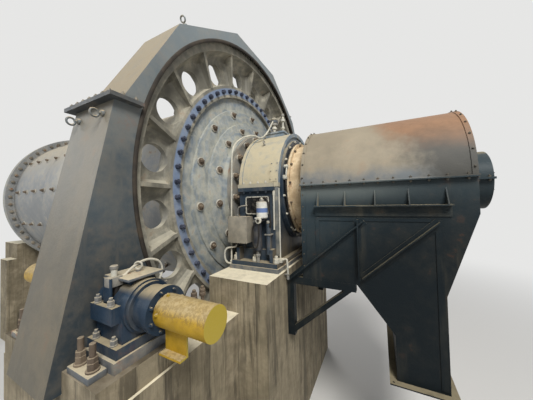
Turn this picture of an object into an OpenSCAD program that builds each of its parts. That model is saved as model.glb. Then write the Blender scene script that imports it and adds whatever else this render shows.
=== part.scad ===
// Trunnion-supported grinding mill: a drum turned by a girth gear in a steel guard,
// two main bearings on concrete piers, and a hooded discharge chute.
// X runs along the drum towards the discharge end, with its zero moved to the middle.

/* [Drum] */
// Height of the drum's axis over the ground
axis_h = 3000; // [2600:10:3600]
// Outer radius of the drum's shell
shell_r = 1395; // [1200:5:1420]
// Thickness of the shell plate
shell_t = 32; // [16:1:60]
// Length of the shell between its two flanges
shell_len = 4670; // [3000:10:7000]
// Radius of the flanges that hold the heads
mill_flange_r = 1518; // [1500:1:1540]
// Thickness of one flange
mill_flange_t = 60; // [30:1:90]
// Thickness of the cast heads
head_t = 90; // [50:1:140]
// How far the head's middle stands out from its rim
head_rise = 205; // [120:5:260]

/* [Girth gear] */
// Module of the teeth
gear_module = 22; // [16:1:24]
// Number of teeth
gear_teeth = 190; // [160:1:200]
// Face width of the teeth
gear_face = 400; // [300:5:460]
// Gap between the guard's front and the teeth
guard_front_gap = 60; // [40:1:110]
// Gap between the teeth and the guard's back
guard_back_gap = 77; // [40:1:110]
// Inner radius of the toothed rim at its two faces
rim_in_r = 1972; // [1940:1:1990]
// Radius at which the rim's inner slope reaches the web
rim_web_r = 1882; // [1850:1:1900]
// Outer radius of the hub ring
hub_out_r = 1593; // [1570:1:1640]
// Inner radius of the flange bolted to the drum
gear_flange_in_r = 1437; // [1420:1:1480]
// Thickness of that flange
gear_flange_t = 65; // [40:1:90]
// Number of pockets round the web
pockets = 20; // [12:2:24]
// Thickness of the middle web
web_t = 60; // [30:1:90]
// Height of the hub over the web, in front and behind
hub_h = 60; // [40:1:80]
// Thickness of the ribs between pockets, at their edge
rib_t = 40; // [20:1:60]
// Half width of the flared foot where a rib meets the web
rib_foot = 98; // [50:1:110]
// Radius of the round hole in each pocket
web_hole_r = 138; // [60:1:142]

/* [Trunnions] */
// Radius of the journals that turn in the main bearings
journal_r = 553; // [480:1:600]
// Bore radius of the trunnions
trunnion_bore_r = 450; // [380:1:480]
// Radius of the feed mouth in the feed end's ring
feed_mouth_r = 470; // [460:1:500]
// Radius of the trunnion's bolted flange
trunnion_flange_r = 840; // [760:5:880]
// Thickness of that flange
trunnion_flange_t = 60; // [30:1:80]
// Radius of the ring bolted to the journal's end
end_ring_r = 640; // [615:1:660]
// Thickness of the end ring
end_ring_t = 45; // [30:1:90]

/* [Main bearings] */
// Length of the bearing cap along the axis
cap_len = 530; // [400:5:560]
// Outer radius of the cap
cap_r = 787; // [740:1:860]
// How far the cap reaches past the base along the axis
cap_overhang = 48; // [0:1:90]
// Height of the base from its foot to the axis
bearing_base_h = 869; // [780:1:900]
// Thickness of the base's foot
bearing_foot_t = 50; // [30:1:80]
// Distance the foot stands out sideways
bearing_foot_out = 110; // [60:5:160]
// Thickness of the sole plate on the pier
sole_t = 45; // [30:1:80]
// How far the sole plate reaches past the base along the axis
sole_out = 80; // [60:1:120]
// Gap between the gear flange plane and the cap, along the axis
cap_gap = 93; // [60:1:140]
// Running clearance of shafts in their bearings
running_gap = 0.3; // [0.3:0.1:1]
// Gap between a cap's end and the end ring
ring_gap = 27; // [10:1:60]

/* [Piers] */
// Edge of a main pier left outside the sole plate
pier_edge = 29; // [20:1:90]
// Width of the upper block
pier_w = 2500; // [2000:10:2800]
// Height of the step under the upper block
pier_step_h = 326; // [100:2:500]
// Distance the lower block stands out sideways
pier_step_out = 150; // [50:5:250]
// How much shorter the lower block is along the axis
pier_step_in = 324; // [50:2:400]

/* [Gear guard] */
// Distance from the axis to each of the guard's twelve sides
guard_apothem = 2173; // [2150:1:2300]
// Thickness of the guard's plates
guard_t = 12; // [6:1:20]
// Radius of the opening in the guard's plates
guard_open_r = 2050; // [1950:1:2058]
// Height of the pinion box's roof over the axis
box_roof_z = 594; // [400:2:700]
// Depth of the pinion box's floor under the axis
box_floor_z = 1270; // [1150:5:1400]
// Half width of the pinion box at its roof, from the axis
box_roof_y = 2204; // [2180:2:2300]
// Half width of the pinion box at its floor, from the axis
box_floor_y = 2590; // [2500:5:2700]
// Width of the flange round the box's roof
roof_flange_w = 60; // [30:1:90]
// Thickness of that flange
roof_flange_t = 30; // [12:1:40]

/* [Pinion bearings] */
// Distance of the pinion shaft from the drum's axis, sideways
pinion_y = 2167; // [2120:1:2260]
// Depth of the pinion shaft under the drum's axis
pinion_z = 836; // [760:1:900]
// Radius of a pinion bearing housing
pinion_housing_r = 165; // [150:1:175]
// Length of a pinion bearing housing
pinion_housing_len = 312; // [250:1:400]
// Radius of the housing's neck
pinion_neck_r = 132; // [110:1:140]
// Length of that neck
pinion_neck_len = 123; // [40:1:160]
// Radius of the ring on the neck's end
pinion_cap_r = 145; // [115:1:150]
// Height of the shaft over the sole plate
pinion_centre_h = 236; // [220:1:260]
// Thickness of the pinion's sole plates
pinion_sole_t = 66; // [40:2:120]
// Radius of the round shaft guard
shaft_guard_r = 98; // [80:1:110]
// Thickness of that ring
pinion_cap_t = 45; // [30:1:80]
// Length of the shaft guard
shaft_guard_len = 391; // [300:1:500]
// Sheet thickness of the shaft guard
shaft_guard_t = 4; // [2:1:8]

/* [Discharge hood and chute] */
// Length of the neck that shows between the end ring and the hood
neck_show = 181; // [60:1:260]
// Length of the hood
hood_len = 1511; // [1200:1:1800]
// Outer radius of the hood
hood_r = 738; // [700:1:800]
// Plate thickness of the hood and chute
chute_t = 10; // [6:1:20]
// Width of the flange between the hood and the chute
seam_w = 45; // [30:1:70]
// Thickness of each half of that flange
seam_t = 10; // [6:1:16]
// Depth of the chute's box under the axis
chute_box_h = 1025; // [900:5:1150]
// Depth of the outlet under the axis
outlet_z = 1855; // [1600:5:1950]
// Length of the outlet along the axis
outlet_len = 396; // [300:2:460]
// Distance from the hood's far end to the outlet's far side
outlet_back = 238; // [150:2:300]
// Gap round the neck where it enters the hood
neck_gap = 18; // [8:1:40]
// Outer radius of the trommel and its neck
trommel_r = 595; // [560:1:612]
// Length of the trommel's drum
trommel_len = 1180; // [900:5:1250]
// Wall of the trommel
trommel_t = 12; // [6:1:20]
// Radius of the round end cover on the hood
cover_r = 300; // [200:1:340]
// Length of the end cover
cover_len = 244; // [100:1:300]
// Height of the shelf on the chute's sides under the axis
shelf_z = 232; // [180:1:300]
// Width of that shelf
shelf_out = 85; // [50:1:120]

/* [Hidden] */
fine = 256;                 // facets of the large circles
seat = 0.3;                 // gap between pieces that seat on each other
split_out = 40;             // width of the flanges along a bearing's split line
split_t = 45;               // thickness of each of those flanges
foot_over = 60;             // length of a bearing's foot past its base, along the axis
foot_steps = 3;             // facets of the flare at a rib's foot
outer_band_r = 1270;        // radius of the outer raised band on a head
inner_band_r = 1060;        // radius of the inner raised band
band_slope = 8;             // how much a band's edge leans in
split_in_y = 1500;          // where the pinion box runs into the guard's round part
plinth_half_w = 700;        // half width of the plinth under the guard
pinion_sole_over = 15;      // length of a pinion sole plate past its housing
pinion_pier_in = 240;       // reach of a pinion pier from its shaft towards the drum
pinion_pier_out = 340;      // its reach away from the drum
pinion_pier_over = 42;      // how far it shows past the sole plate, along the axis

// Stations along the axis, measured from the guard's front face
gear_front_x = -guard_front_gap;
guard_depth = guard_front_gap + gear_face + guard_back_gap;
gear_mid_x = gear_front_x - gear_face/2;
gear_flange_x = gear_mid_x + web_t/2 + hub_h;
head_x = gear_flange_x - gear_flange_t;         // front of the discharge head's flange
shell_x = head_x - 2*mill_flange_t;             // where the bare shell starts
feed_shell_x = shell_x - shell_len;
feed_head_x = feed_shell_x - 2*mill_flange_t;   // front of the feed head's flange
trunnion_x = head_x + head_rise;
cap_x = trunnion_x + trunnion_flange_t + cap_gap;
mid_x = (head_x + feed_head_x)/2;               // the drum's middle
bearing_base_len = cap_len - cap_overhang;
end_ring_x = cap_x + cap_len + ring_gap;
neck_x = end_ring_x + end_ring_t;
hood_x = neck_x + neck_show;
gear_pitch_r = gear_module*gear_teeth/2;
gear_tip_r = gear_pitch_r + gear_module;
gear_root_r = gear_pitch_r - 1.25*gear_module;
pier_top_z = -(bearing_base_h + bearing_foot_t + sole_t);
pinion_pier_z = -(pinion_z + pinion_centre_h + pinion_sole_t);
hood_end_x = hood_x + hood_len;
outlet_x1 = hood_end_x - outlet_back;
outlet_x0 = outlet_x1 - outlet_len;
slope_len = 320;                                // length of the sloping floor along the axis
slope_end_z = chute_box_h + 420;                // depth where that floor meets the outlet
end_wall_z = 314;                               // depth of the upright end wall
shelf_x0 = hood_x + 156;
shelf_x1 = hood_end_x - 181;
shelf_leg = 106;                                // height of the shelf's lower leg
inlet_r = trommel_r + neck_gap;
chute_side_y = hood_r;
pier_x = cap_x - sole_out - pier_edge;
pier_len = bearing_base_len + 2*(sole_out + pier_edge);
x_min = 2*mid_x - end_ring_x - end_ring_t;
cover_lid_t = 12;                               // lid on the end cover
pinion_sole_len = pinion_housing_len + pinion_sole_over;
pinion_end_x = 2*seat + pinion_housing_len + pinion_neck_len + pinion_cap_t;
pier_low_z = pier_top_z - pier_step_h;          // top of a main pier's lower block
pier_low_x = pier_x + pier_len - pier_step_in;  // where the lower block ends, along the axis
x_max = hood_end_x + cover_len + cover_lid_t;
y_min = -(box_floor_y);
y_max = guard_apothem;
x_shift = -(x_min + x_max)/2;
y_shift = -(y_min + y_max)/2;

// Moves a piece drawn about the drum's axis to its place over the ground
module placed() {
    translate([x_shift, y_shift, axis_h]) children();
}

// A round bar along X
module bar_x(x, r, len) {
    translate([x, 0, 0]) rotate([0, 90, 0]) cylinder(r = r, h = len, $fn = fine);
}

// A ring along X
module ring_x(x, r_out, r_in, len) {
    translate([x, 0, 0]) rotate([0, 90, 0]) linear_extrude(len) difference() {
        circle(r = r_out, $fn = fine);
        circle(r = r_in, $fn = fine);
    }
}

// A body turned about X from points [radius, x]
module turned_x(points) {
    rotate([0, 90, 0]) rotate_extrude($fn = fine) polygon(points);
}

// A plate across X, drawn as [y, z]
module plate_x(x, t) {
    translate([x, 0, 0]) rotate([90, 0, 90]) linear_extrude(t) children();
}

// A plate across Y, drawn as [x, z]
module plate_y(y, t) {
    translate([0, y + t, 0]) rotate([90, 0, 0]) linear_extrude(t) children();
}

// Mirrors a discharge-end piece to the feed end
module at_feed_end() {
    translate([2*mid_x, 0, 0]) mirror([1, 0, 0]) children();
}

module shell() {
    color("#8f949a") placed() {
        ring_x(feed_shell_x - mill_flange_t + seat, shell_r, shell_r - shell_t,
               shell_len + 2*(mill_flange_t - seat));
        for (x = [feed_shell_x - mill_flange_t + seat, shell_x])
            ring_x(x, mill_flange_r, shell_r - shell_t, mill_flange_t - seat);
    }
}

// Cast head: a bolted rim, a dished face with two raised bands and a bored middle
module head_solid() {
    rise = head_rise;
    turned_x([
        [trunnion_bore_r, head_x + rise - head_t], [shell_r - shell_t - 40, head_x - mill_flange_t],
        [mill_flange_r, head_x - mill_flange_t], [mill_flange_r, head_x],
        [gear_flange_in_r - 2, head_x], [gear_flange_in_r - 2, head_x + 12],
        [outer_band_r, head_x + 22], [outer_band_r - band_slope, head_x + 40],
        [inner_band_r, head_x + 78], [inner_band_r - band_slope, head_x + 96],
        [trunnion_flange_r + 30, head_x + rise - 45],
        [trunnion_flange_r + 8, head_x + rise], [trunnion_bore_r, head_x + rise]
    ]);
}
module discharge_head() { color("#959b91") placed() head_solid(); }
module feed_head() { color("#959b91") placed() at_feed_end() head_solid(); }

// Toothed outline of the girth gear
function tooth_points(i) =
    let (step = 360/gear_teeth, root = 0.29*step, tip = 0.15*step)
    [for (p = [[gear_root_r, -root], [gear_tip_r, -tip], [gear_tip_r, tip], [gear_root_r, root]])
        p[0]*[cos(i*step + p[1]), sin(i*step + p[1])]];

// One side of a rib's section at the web: a flared foot that narrows to the rib's own width
function rib_side(h) = [
    for (k = [0:foot_steps]) let (a = 90*k/foot_steps)
        [rib_t/2 + (rib_foot - rib_t/2)*(1 - sin(a)), h*(1 - cos(a))]
];
module rib_foot_solid() {
    foot_h = 0.75*hub_h + 25;
    right = rib_side(foot_h);
    rotate([90, 0, 90]) translate([0, 0, hub_out_r - 6]) linear_extrude(rim_web_r - hub_out_r + 12)
        polygon(concat([[rib_foot, -4]], right,
            [for (k = [foot_steps:-1:0]) [-right[k][0], right[k][1]]], [[-rib_foot, -4]]));
}
// Rib between two pockets, drawn as [radius, height over the web]
module rib_blade() {
    rim_h = gear_face/2 - web_t/2;
    translate([0, rib_t/2, 0]) rotate([90, 0, 0]) linear_extrude(rib_t) polygon([
        [hub_out_r - 6, -4], [hub_out_r - 6, hub_h], [rim_in_r + 4, rim_h - 20],
        [rim_in_r + 4, -4]
    ]);
}
// Slopes that lead from the web up to the rim and the hub, as [radius, height over the web]
module web_slopes() {
    rim_h = gear_face/2 - web_t/2;
    rotate_extrude($fn = fine) polygon(concat(
        [for (k = [0:4]) let (a = 90*k/4)
            [rim_web_r + (rim_in_r - rim_web_r)*sin(a), rim_h*(1 - cos(a))]],
        [[rim_in_r + 4, rim_h], [rim_in_r + 4, -4], [rim_web_r, -4]]
    ));
    rotate_extrude($fn = fine) polygon(concat(
        [for (k = [0:3]) let (a = 90*k/3)
            [hub_out_r + hub_h*0.5*(1 - sin(a)), hub_h*(1 - cos(a))]],
        [[hub_out_r - 4, hub_h], [hub_out_r - 4, -4], [hub_out_r + hub_h*0.5, -4]]
    ));
}
// All that stands on one face of the web, turned to face along X
module web_face() {
    web_slopes();
    for (i = [0:pockets - 1]) rotate(360/pockets*i) {
        rib_foot_solid();
        rib_blade();
    }
}

module girth_gear() {
    hole_ring_r = (rim_web_r + hub_out_r)/2;
    color("#b0ae9f") placed() {
        plate_x(gear_front_x - gear_face, gear_face) difference() {
            polygon([for (i = [0:gear_teeth - 1]) each tooth_points(i)]);
            circle(r = rim_in_r, $fn = fine);
        }
        difference() {
            union() {
                ring_x(gear_mid_x - web_t/2, rim_in_r + 4, mill_flange_r + 1, web_t);
                translate([gear_mid_x + web_t/2, 0, 0]) rotate([90, 0, 90]) web_face();
                translate([gear_mid_x - web_t/2, 0, 0]) rotate([90, 0, -90]) web_face();
            }
            for (i = [0:pockets - 1])
                translate([gear_mid_x - web_t/2 - hub_h, 0, 0]) rotate([90, 0, 90])
                    rotate(180/pockets*(2*i + 1)) translate([hole_ring_r, 0, 0])
                        cylinder(r = web_hole_r, h = web_t + 2*hub_h, $fn = 64);
        }
        ring_x(gear_mid_x - web_t/2 - hub_h, hub_out_r, mill_flange_r + 1, web_t + 2*hub_h);
        ring_x(head_x + seat, hub_out_r, gear_flange_in_r, gear_flange_t - seat);
    }
}

module trunnion_solid() {
    difference() {
        union() {
            bar_x(trunnion_x + seat, trunnion_flange_r, trunnion_flange_t);
            turned_x([[0, trunnion_x + 20], [journal_r + 60, trunnion_x + 20],
                [journal_r + 60, trunnion_x + trunnion_flange_t + 20],
                [journal_r, trunnion_x + trunnion_flange_t + 80], [journal_r, end_ring_x],
                [0, end_ring_x]]);
        }
        bar_x(trunnion_x - 1, trunnion_bore_r, end_ring_x - trunnion_x + 2);
    }
}
module discharge_trunnion() { color("#7f858a") placed() trunnion_solid(); }
module feed_trunnion() { color("#7f858a") placed() at_feed_end() trunnion_solid(); }

module end_ring_solid(bore_r) { ring_x(end_ring_x + seat, end_ring_r, bore_r, end_ring_t - seat); }
module discharge_end_ring() { color("#a8805f") placed() end_ring_solid(trunnion_bore_r); }
module feed_end_ring() { color("#a8805f") placed() at_feed_end() end_ring_solid(feed_mouth_r); }

// Neck bolted behind the end ring, and the slotted screen inside the hood
module trommel() {
    screen_x = hood_x + 40;
    slots_long = 5;
    slots_round = 12;
    slot_w = 120;
    bar_w = 55;
    flange_t = 40;
    slot_pitch = (trommel_len - bar_w)/slots_long;
    color("#7a756b") placed() difference() {
        union() {
            ring_x(neck_x + seat, trommel_r, trunnion_bore_r, flange_t);
            ring_x(neck_x + seat, trommel_r, trommel_r - trommel_t, screen_x - neck_x + trommel_len);
        }
        for (i = [0:slots_long - 1], j = [0:slots_round - 1])
            translate([screen_x + 60 + i*slot_pitch, 0, 0]) rotate([j*360/slots_round, 0, 0])
                translate([0, -slot_w/2, trommel_r - slot_w/2])
                    cube([slot_pitch - bar_w, slot_w, slot_w]);
    }
}

// Outline of the guard: twelve sides joined to the pinion box
module guard_outline(t) {
    rotate(15) circle(r = (guard_apothem - t)/cos(15), $fn = 12);
    lean = (box_floor_y - box_roof_y)/(box_roof_z + box_floor_z);
    side = t*sqrt(1 + lean*lean);
    polygon([
        [-split_in_y, box_roof_z - t], [-(box_roof_y - side) - lean*t, box_roof_z - t],
        [-(box_floor_y - side) + lean*t, -(box_floor_z - t)], [-split_in_y, -(box_floor_z - t)]
    ]);
}
module guard_plate(x) {
    plate_x(x, guard_t) difference() {
        guard_outline(0);
        circle(r = guard_open_r, $fn = fine);
    }
}
module guard_front_plate() { color("#647687") placed() guard_plate(-guard_t); }
module guard_back_plate() { color("#647687") placed() guard_plate(-guard_depth); }
module guard_rim() {
    color("#8d8d84") placed()
        plate_x(-guard_depth + guard_t + seat, guard_depth - 2*(guard_t + seat)) difference() {
            guard_outline(0);
            guard_outline(guard_t);
        }
}

// Split flange over the pinion box, round three sides of the guard
module pinion_box_roof() {
    w = roof_flange_w;
    facet_y = (guard_apothem - sin(30)*(box_roof_z + seat))/cos(30) + seat;
    reach_y = 2010;
    color("#3b4650") placed() translate([0, 0, box_roof_z + seat]) linear_extrude(roof_flange_t)
        difference() {
            translate([-guard_depth - w, -box_roof_y - w])
                square([guard_depth + 2*w, box_roof_y + w - reach_y]);
            translate([-guard_depth - seat, -facet_y])
                square([guard_depth + 2*seat, facet_y - reach_y + 1]);
        }
}

module guard_plinth() {
    h = axis_h - guard_apothem - seat;
    color("#827a69") placed() translate([-guard_depth, -plinth_half_w, -axis_h])
        cube([guard_depth + pier_x - seat, 2*plinth_half_w, h]);
}

// Base under the split line: body with a recess on each side, foot, split flange and end rib
module bearing_base_solid() {
    w = 2*cap_r;
    recess = 25;
    gusset = [40, bearing_foot_out - 20, 150];
    difference() {
        union() {
            translate([cap_x, -cap_r, -bearing_base_h]) cube([bearing_base_len, w, bearing_base_h - seat]);
            translate([cap_x - foot_over, -cap_r - bearing_foot_out, -bearing_base_h - bearing_foot_t + seat])
                cube([bearing_base_len + 2*foot_over, w + 2*bearing_foot_out, bearing_foot_t]);
            translate([cap_x, -cap_r - split_out, -split_t - seat])
                cube([bearing_base_len, w + 2*split_out, split_t]);
            for (s = [-1, 1], x = [cap_x, cap_x + bearing_base_len - gusset[0]])
                translate([x, s*(cap_r + gusset[1]/2) - gusset[1]/2, -bearing_base_h]) cube(gusset);
        }
        bar_x(cap_x - 1, journal_r + running_gap, cap_len + 2);
        for (s = [-1, 1]) translate([cap_x + 60, s*cap_r - recess, -bearing_base_h + 130])
            cube([bearing_base_len - 120, 2*recess, bearing_base_h - 560]);
    }
}
// Half-round cap: split flange, raised bands, a sunk end face and an inspection lid on top
module bearing_cap_solid() {
    narrow_band = [45, 14];
    wide_band = [110, 5];
    lid = [310, 410, 22];
    lid_x = cap_x + 75;
    lid_rim = 15;
    lid_rise = 30;
    sunk = 18;
    difference() {
        union() {
            bar_x(cap_x, cap_r, cap_len);
            bar_x(cap_x, cap_r + narrow_band[1], narrow_band[0]);
            bar_x(cap_x + cap_len - wide_band[0], cap_r + wide_band[1], wide_band[0]);
            translate([cap_x, -cap_r - split_out, 0])
                cube([bearing_base_len, 2*(cap_r + split_out), split_t]);
            translate([lid_x + lid_rim, -lid[1]/2 + lid_rim, cap_r - 60])
                cube([lid[0] - 2*lid_rim, lid[1] - 2*lid_rim, 60 + lid_rise]);
            translate([lid_x, -lid[1]/2, cap_r + lid_rise]) cube(lid);
        }
        bar_x(cap_x - 1, journal_r + running_gap, cap_len + 2);
        ring_x(cap_x + cap_len - sunk, cap_r - 45, journal_r + 60, sunk + 1);
        translate([cap_x - 1, -2*cap_r, -2*cap_r]) cube([cap_len + 2, 4*cap_r, 2*cap_r]);
    }
}
module sole_solid() {
    translate([cap_x - sole_out, -cap_r - bearing_foot_out - 20, pier_top_z])
        cube([bearing_base_len + 2*sole_out, 2*(cap_r + bearing_foot_out + 20), sole_t]);
}
// Main pier: an upper block, and a lower one that reaches as far as side_y on the pinion's side
module pier_solid(side_y) {
    translate([pier_x, -pier_w/2, -axis_h]) cube([pier_len, pier_w, axis_h + pier_top_z - seat]);
    translate([pier_x, side_y, -axis_h])
        cube([pier_low_x - pier_x, pier_w/2 + pier_step_out - side_y, axis_h + pier_low_z]);
}
module discharge_bearing_base() { color("#324660") placed() bearing_base_solid(); }
module discharge_bearing_cap() { color("#c8b99b") placed() bearing_cap_solid(); }
module discharge_sole_plate() { color("#5a6068") placed() sole_solid(); }
module discharge_pier() {
    color("#827a69") placed() pier_solid(-pinion_y + pinion_pier_in + seat);
}
module feed_bearing_base() { color("#324660") placed() at_feed_end() bearing_base_solid(); }
module feed_bearing_cap() { color("#c8b99b") placed() at_feed_end() bearing_cap_solid(); }
module feed_sole_plate() { color("#5a6068") placed() at_feed_end() sole_solid(); }
module feed_pier() {
    color("#827a69") placed() at_feed_end() pier_solid(-pier_w/2 - pier_step_out);
}

// Half-round hood with a flange along its split line and a band round each end
module hood_shell() {
    band = 8;
    color("#968c78") placed() difference() {
        union() {
            ring_x(hood_x, hood_r, hood_r - chute_t, hood_len);
            for (x = [hood_x, hood_end_x - 40]) ring_x(x, hood_r + band, hood_r - chute_t, 40);
            translate([hood_x, -hood_r - seam_w, 0]) cube([hood_len, 2*(hood_r + seam_w), seam_t]);
        }
        bar_x(hood_x - 1, hood_r - chute_t, hood_len + 2);
        translate([hood_x - 1, -2*hood_r, -2*hood_r]) cube([hood_len + 2, 4*hood_r, 2*hood_r]);
    }
}
module hood_half_disc(x, hole_r) {
    plate_x(x, chute_t) difference() {
        circle(r = hood_r - chute_t - seat, $fn = fine);
        circle(r = hole_r, $fn = fine);
        translate([-2*hood_r, -4*hood_r]) square(4*hood_r);
    }
}
module hood_inlet_plate() { color("#7f7a6c") placed() hood_half_disc(hood_x, inlet_r); }
module hood_end_plate() {
    color("#7f7a6c") placed() hood_half_disc(hood_end_x - chute_t, cover_r - 3*chute_t);
}
// Round cover on the hood's far end, split at the same height as the hood
module end_cover() {
    color("#3e4d5c") placed() {
        difference() {
            union() {
                bar_x(hood_end_x + seat, cover_r, cover_len - seat);
                bar_x(hood_end_x + seat, cover_r + 30, chute_t);
                translate([hood_end_x + seat, -cover_r - seam_w, -seam_t])
                    cube([cover_len - seat, 2*(cover_r + seam_w), 2*seam_t]);
            }
            bar_x(hood_end_x - 1, cover_r - chute_t, cover_len + 1 - 2*chute_t);
        }
        bar_x(hood_end_x + cover_len - 1, cover_r - 60, cover_lid_t + 1);
    }
}

// Side outline of the chute, as [x, z]
function chute_side() = [
    [hood_x, -seam_t - seat], [hood_x, -chute_box_h], [outlet_x0 - slope_len, -chute_box_h],
    [outlet_x0, -slope_end_z], [outlet_x0, -outlet_z], [outlet_x1, -outlet_z],
    [outlet_x1, -chute_box_h], [hood_end_x, -end_wall_z], [hood_end_x, -seam_t - seat]
];
module chute_body() {
    t = chute_t;
    color("#323f4c") placed() {
        difference() {
            union() {
                plate_y(-chute_side_y, 2*chute_side_y) polygon(chute_side());
                translate([hood_x, -hood_r - seam_w, -seam_t - seat])
                    cube([hood_len, 2*(hood_r + seam_w), seam_t]);
            }
            plate_y(-chute_side_y + t, 2*(chute_side_y - t)) polygon([
                [hood_x + t, 1], [hood_x + t, -chute_box_h + t],
                [outlet_x0 - slope_len + t/2, -chute_box_h + t],
                [outlet_x0 + t, -slope_end_z + t/2], [outlet_x0 + t, -outlet_z - 1],
                [outlet_x1 - t, -outlet_z - 1], [outlet_x1 - t, -chute_box_h],
                [hood_end_x - t, -end_wall_z], [hood_end_x - t, 1]
            ]);
            bar_x(hood_x - 1, inlet_r, chute_t + 2);
        }
    }
}

// Shelf of the chute's side: a ledge, its lower leg and five gussets
module shelf_solid() {
    gusset_h = 145;
    gussets = 5;
    inset = 35;
    translate([shelf_x0, -chute_side_y - shelf_out, -shelf_z - 12])
        cube([shelf_x1 - shelf_x0, shelf_out - seat, 12]);
    translate([shelf_x0, -chute_side_y - 12 - seat, -shelf_z - shelf_leg])
        cube([shelf_x1 - shelf_x0, 12, shelf_leg - 10]);
    for (i = [0:gussets - 1])
        translate([shelf_x0 + inset - 5 + i*(shelf_x1 - shelf_x0 - 2*inset)/(gussets - 1), 0, 0])
            plate_x(0, 10) polygon([[-chute_side_y - seat, -shelf_z - 1],
                [-chute_side_y - shelf_out, -shelf_z - 1], [-chute_side_y - seat, -shelf_z + gusset_h]]);
}
module chute_shelves() {
    color("#4a5560") placed() {
        shelf_solid();
        mirror([0, 1, 0]) shelf_solid();
    }
}

// A flat stiffener on the chute's side between two points [x, z]
module strip(a, b, w, t) {
    d = b - a;
    n = [-d[1], d[0]]/norm(d)*w/2;
    plate_y(-chute_side_y - t - seat, t) polygon([a + n, b + n, b - n, a - n]);
}
// A tee-shaped brace: a flat foot with a thin standing edge
module tee(a, b, w) {
    strip(a, b, w, 10);
    strip(a, b, 12, 55);
}
// Height at which the line through two points [x, z] passes x
function on_line(a, b, x) = a[1] + (b[1] - a[1])*(x - a[0])/(b[0] - a[0]);
module brace_set() {
    top_z = -shelf_z - shelf_leg - 35;
    low_z = -chute_box_h + 72;
    post_x = (shelf_x0 + shelf_x1)/2 - 162;
    long_a = [hood_x + 640, top_z - 10];
    long_b = [pier_x + pier_len + 45, -chute_box_h - 30];
    short_a = [shelf_x1 - 90, top_z - 15];
    short_b = [post_x + 30, low_z];
    edge_x = shelf_x0 + 20;
    tee(long_a, long_b, 70);
    tee(short_a, short_b, 80);
    tee([post_x, top_z], [post_x, low_z + 22], 60);
    strip([edge_x, top_z], [edge_x, on_line(long_a, long_b, edge_x)], 40, 8);
    strip([edge_x, top_z], [shelf_x1 - 150, top_z], 30, 8);
    strip([outlet_x1 - 40, top_z], [outlet_x1 - 40, -outlet_z + 30], 50, 8);
    strip([hood_x + 25, -seam_t - 60], [hood_x + 25, on_line(long_a, long_b, hood_x + 25)], 50, 8);
}
module chute_braces() {
    color("#3c4a57") placed() {
        brace_set();
        mirror([0, 1, 0]) brace_set();
    }
}
module outlet_flange() {
    w = 60;
    color("#3c4a57") placed() difference() {
        translate([outlet_x0 - w, -chute_side_y - w, -outlet_z - 12])
            cube([outlet_len + 2*w, 2*(chute_side_y + w), 12 - seat]);
        translate([outlet_x0 + chute_t, -chute_side_y + chute_t, -outlet_z - 20])
            cube([outlet_len - 2*chute_t, 2*(chute_side_y - chute_t), 40]);
        for (sx = [-1, 1], sy = [-1, 1])
            translate([(outlet_x0 + outlet_x1)/2 + sx*(outlet_len/2 + w/2), sy*(chute_side_y + w/2), -outlet_z - 20])
                cylinder(r = 9, h = 40, $fn = 32);
    }
}

// Post, beam and knee brace that carry the chute beside the pier
module support_frame(s) {
    post = 80;
    post_len = 660;
    x0 = pier_x + pier_len;
    x1 = outlet_x0 - slope_len - 10;
    y = s*(chute_side_y - post/2) - post/2;
    translate([x0 + seat, y, -chute_box_h - post_len]) cube([post, post, post_len - seat]);
    translate([x0 + post, y, -chute_box_h - post]) cube([x1 - x0 - post, post, post - seat]);
    plate_y(y, post) polygon([[x0 + post/2, -chute_box_h - post_len],
        [x0 + post/2, -chute_box_h - post_len + post], [x1 - 90, -chute_box_h - post + 20],
        [x1 - 20, -chute_box_h - post + 20]]);
}
module support_frame_near() { color("#2f3d4a") placed() support_frame(-1); }
module support_frame_far() { color("#2f3d4a") placed() support_frame(1); }

// Split pillow block in front of the guard: housing, cap flange with bolt lugs, foot, neck and ring
module pinion_bearing_solid() {
    r = pinion_housing_r;
    half_w = r + 45;                // cap flange and foot past the housing's sides
    lug_in = 40;                    // the flange's and the lid's ends behind the housing's
    lug_t = 100;
    foot_t = 60;
    web_in = 20;
    lid = [pinion_housing_len - 3*lug_in, 160, 28];
    flange_t = 26;
    flange_r = pinion_cap_r + 8;
    neck_x = seat + pinion_housing_len;
    translate([0, -pinion_y, -pinion_z]) {
        bar_x(seat, r, pinion_housing_len);
        bar_x(neck_x - 1, pinion_neck_r, pinion_neck_len + 2);
        bar_x(neck_x - 1, flange_r, flange_t);
        bar_x(neck_x + pinion_neck_len, pinion_cap_r, pinion_cap_t);
        translate([seat + lug_in, -half_w, -lug_t/2])
            cube([pinion_housing_len - 2*lug_in, 2*half_w, lug_t]);
        translate([seat, -half_w, -pinion_centre_h + seat])
            cube([pinion_housing_len, 2*half_w, foot_t]);
        translate([seat + web_in, -r, -pinion_centre_h + seat])
            cube([pinion_housing_len - 2*web_in, 2*r, pinion_centre_h]);
        translate([seat + 1.5*lug_in, -lid[1]/2, r - lid[2]]) cube([lid[0], lid[1], 1.5*lid[2]]);
    }
}
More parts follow.
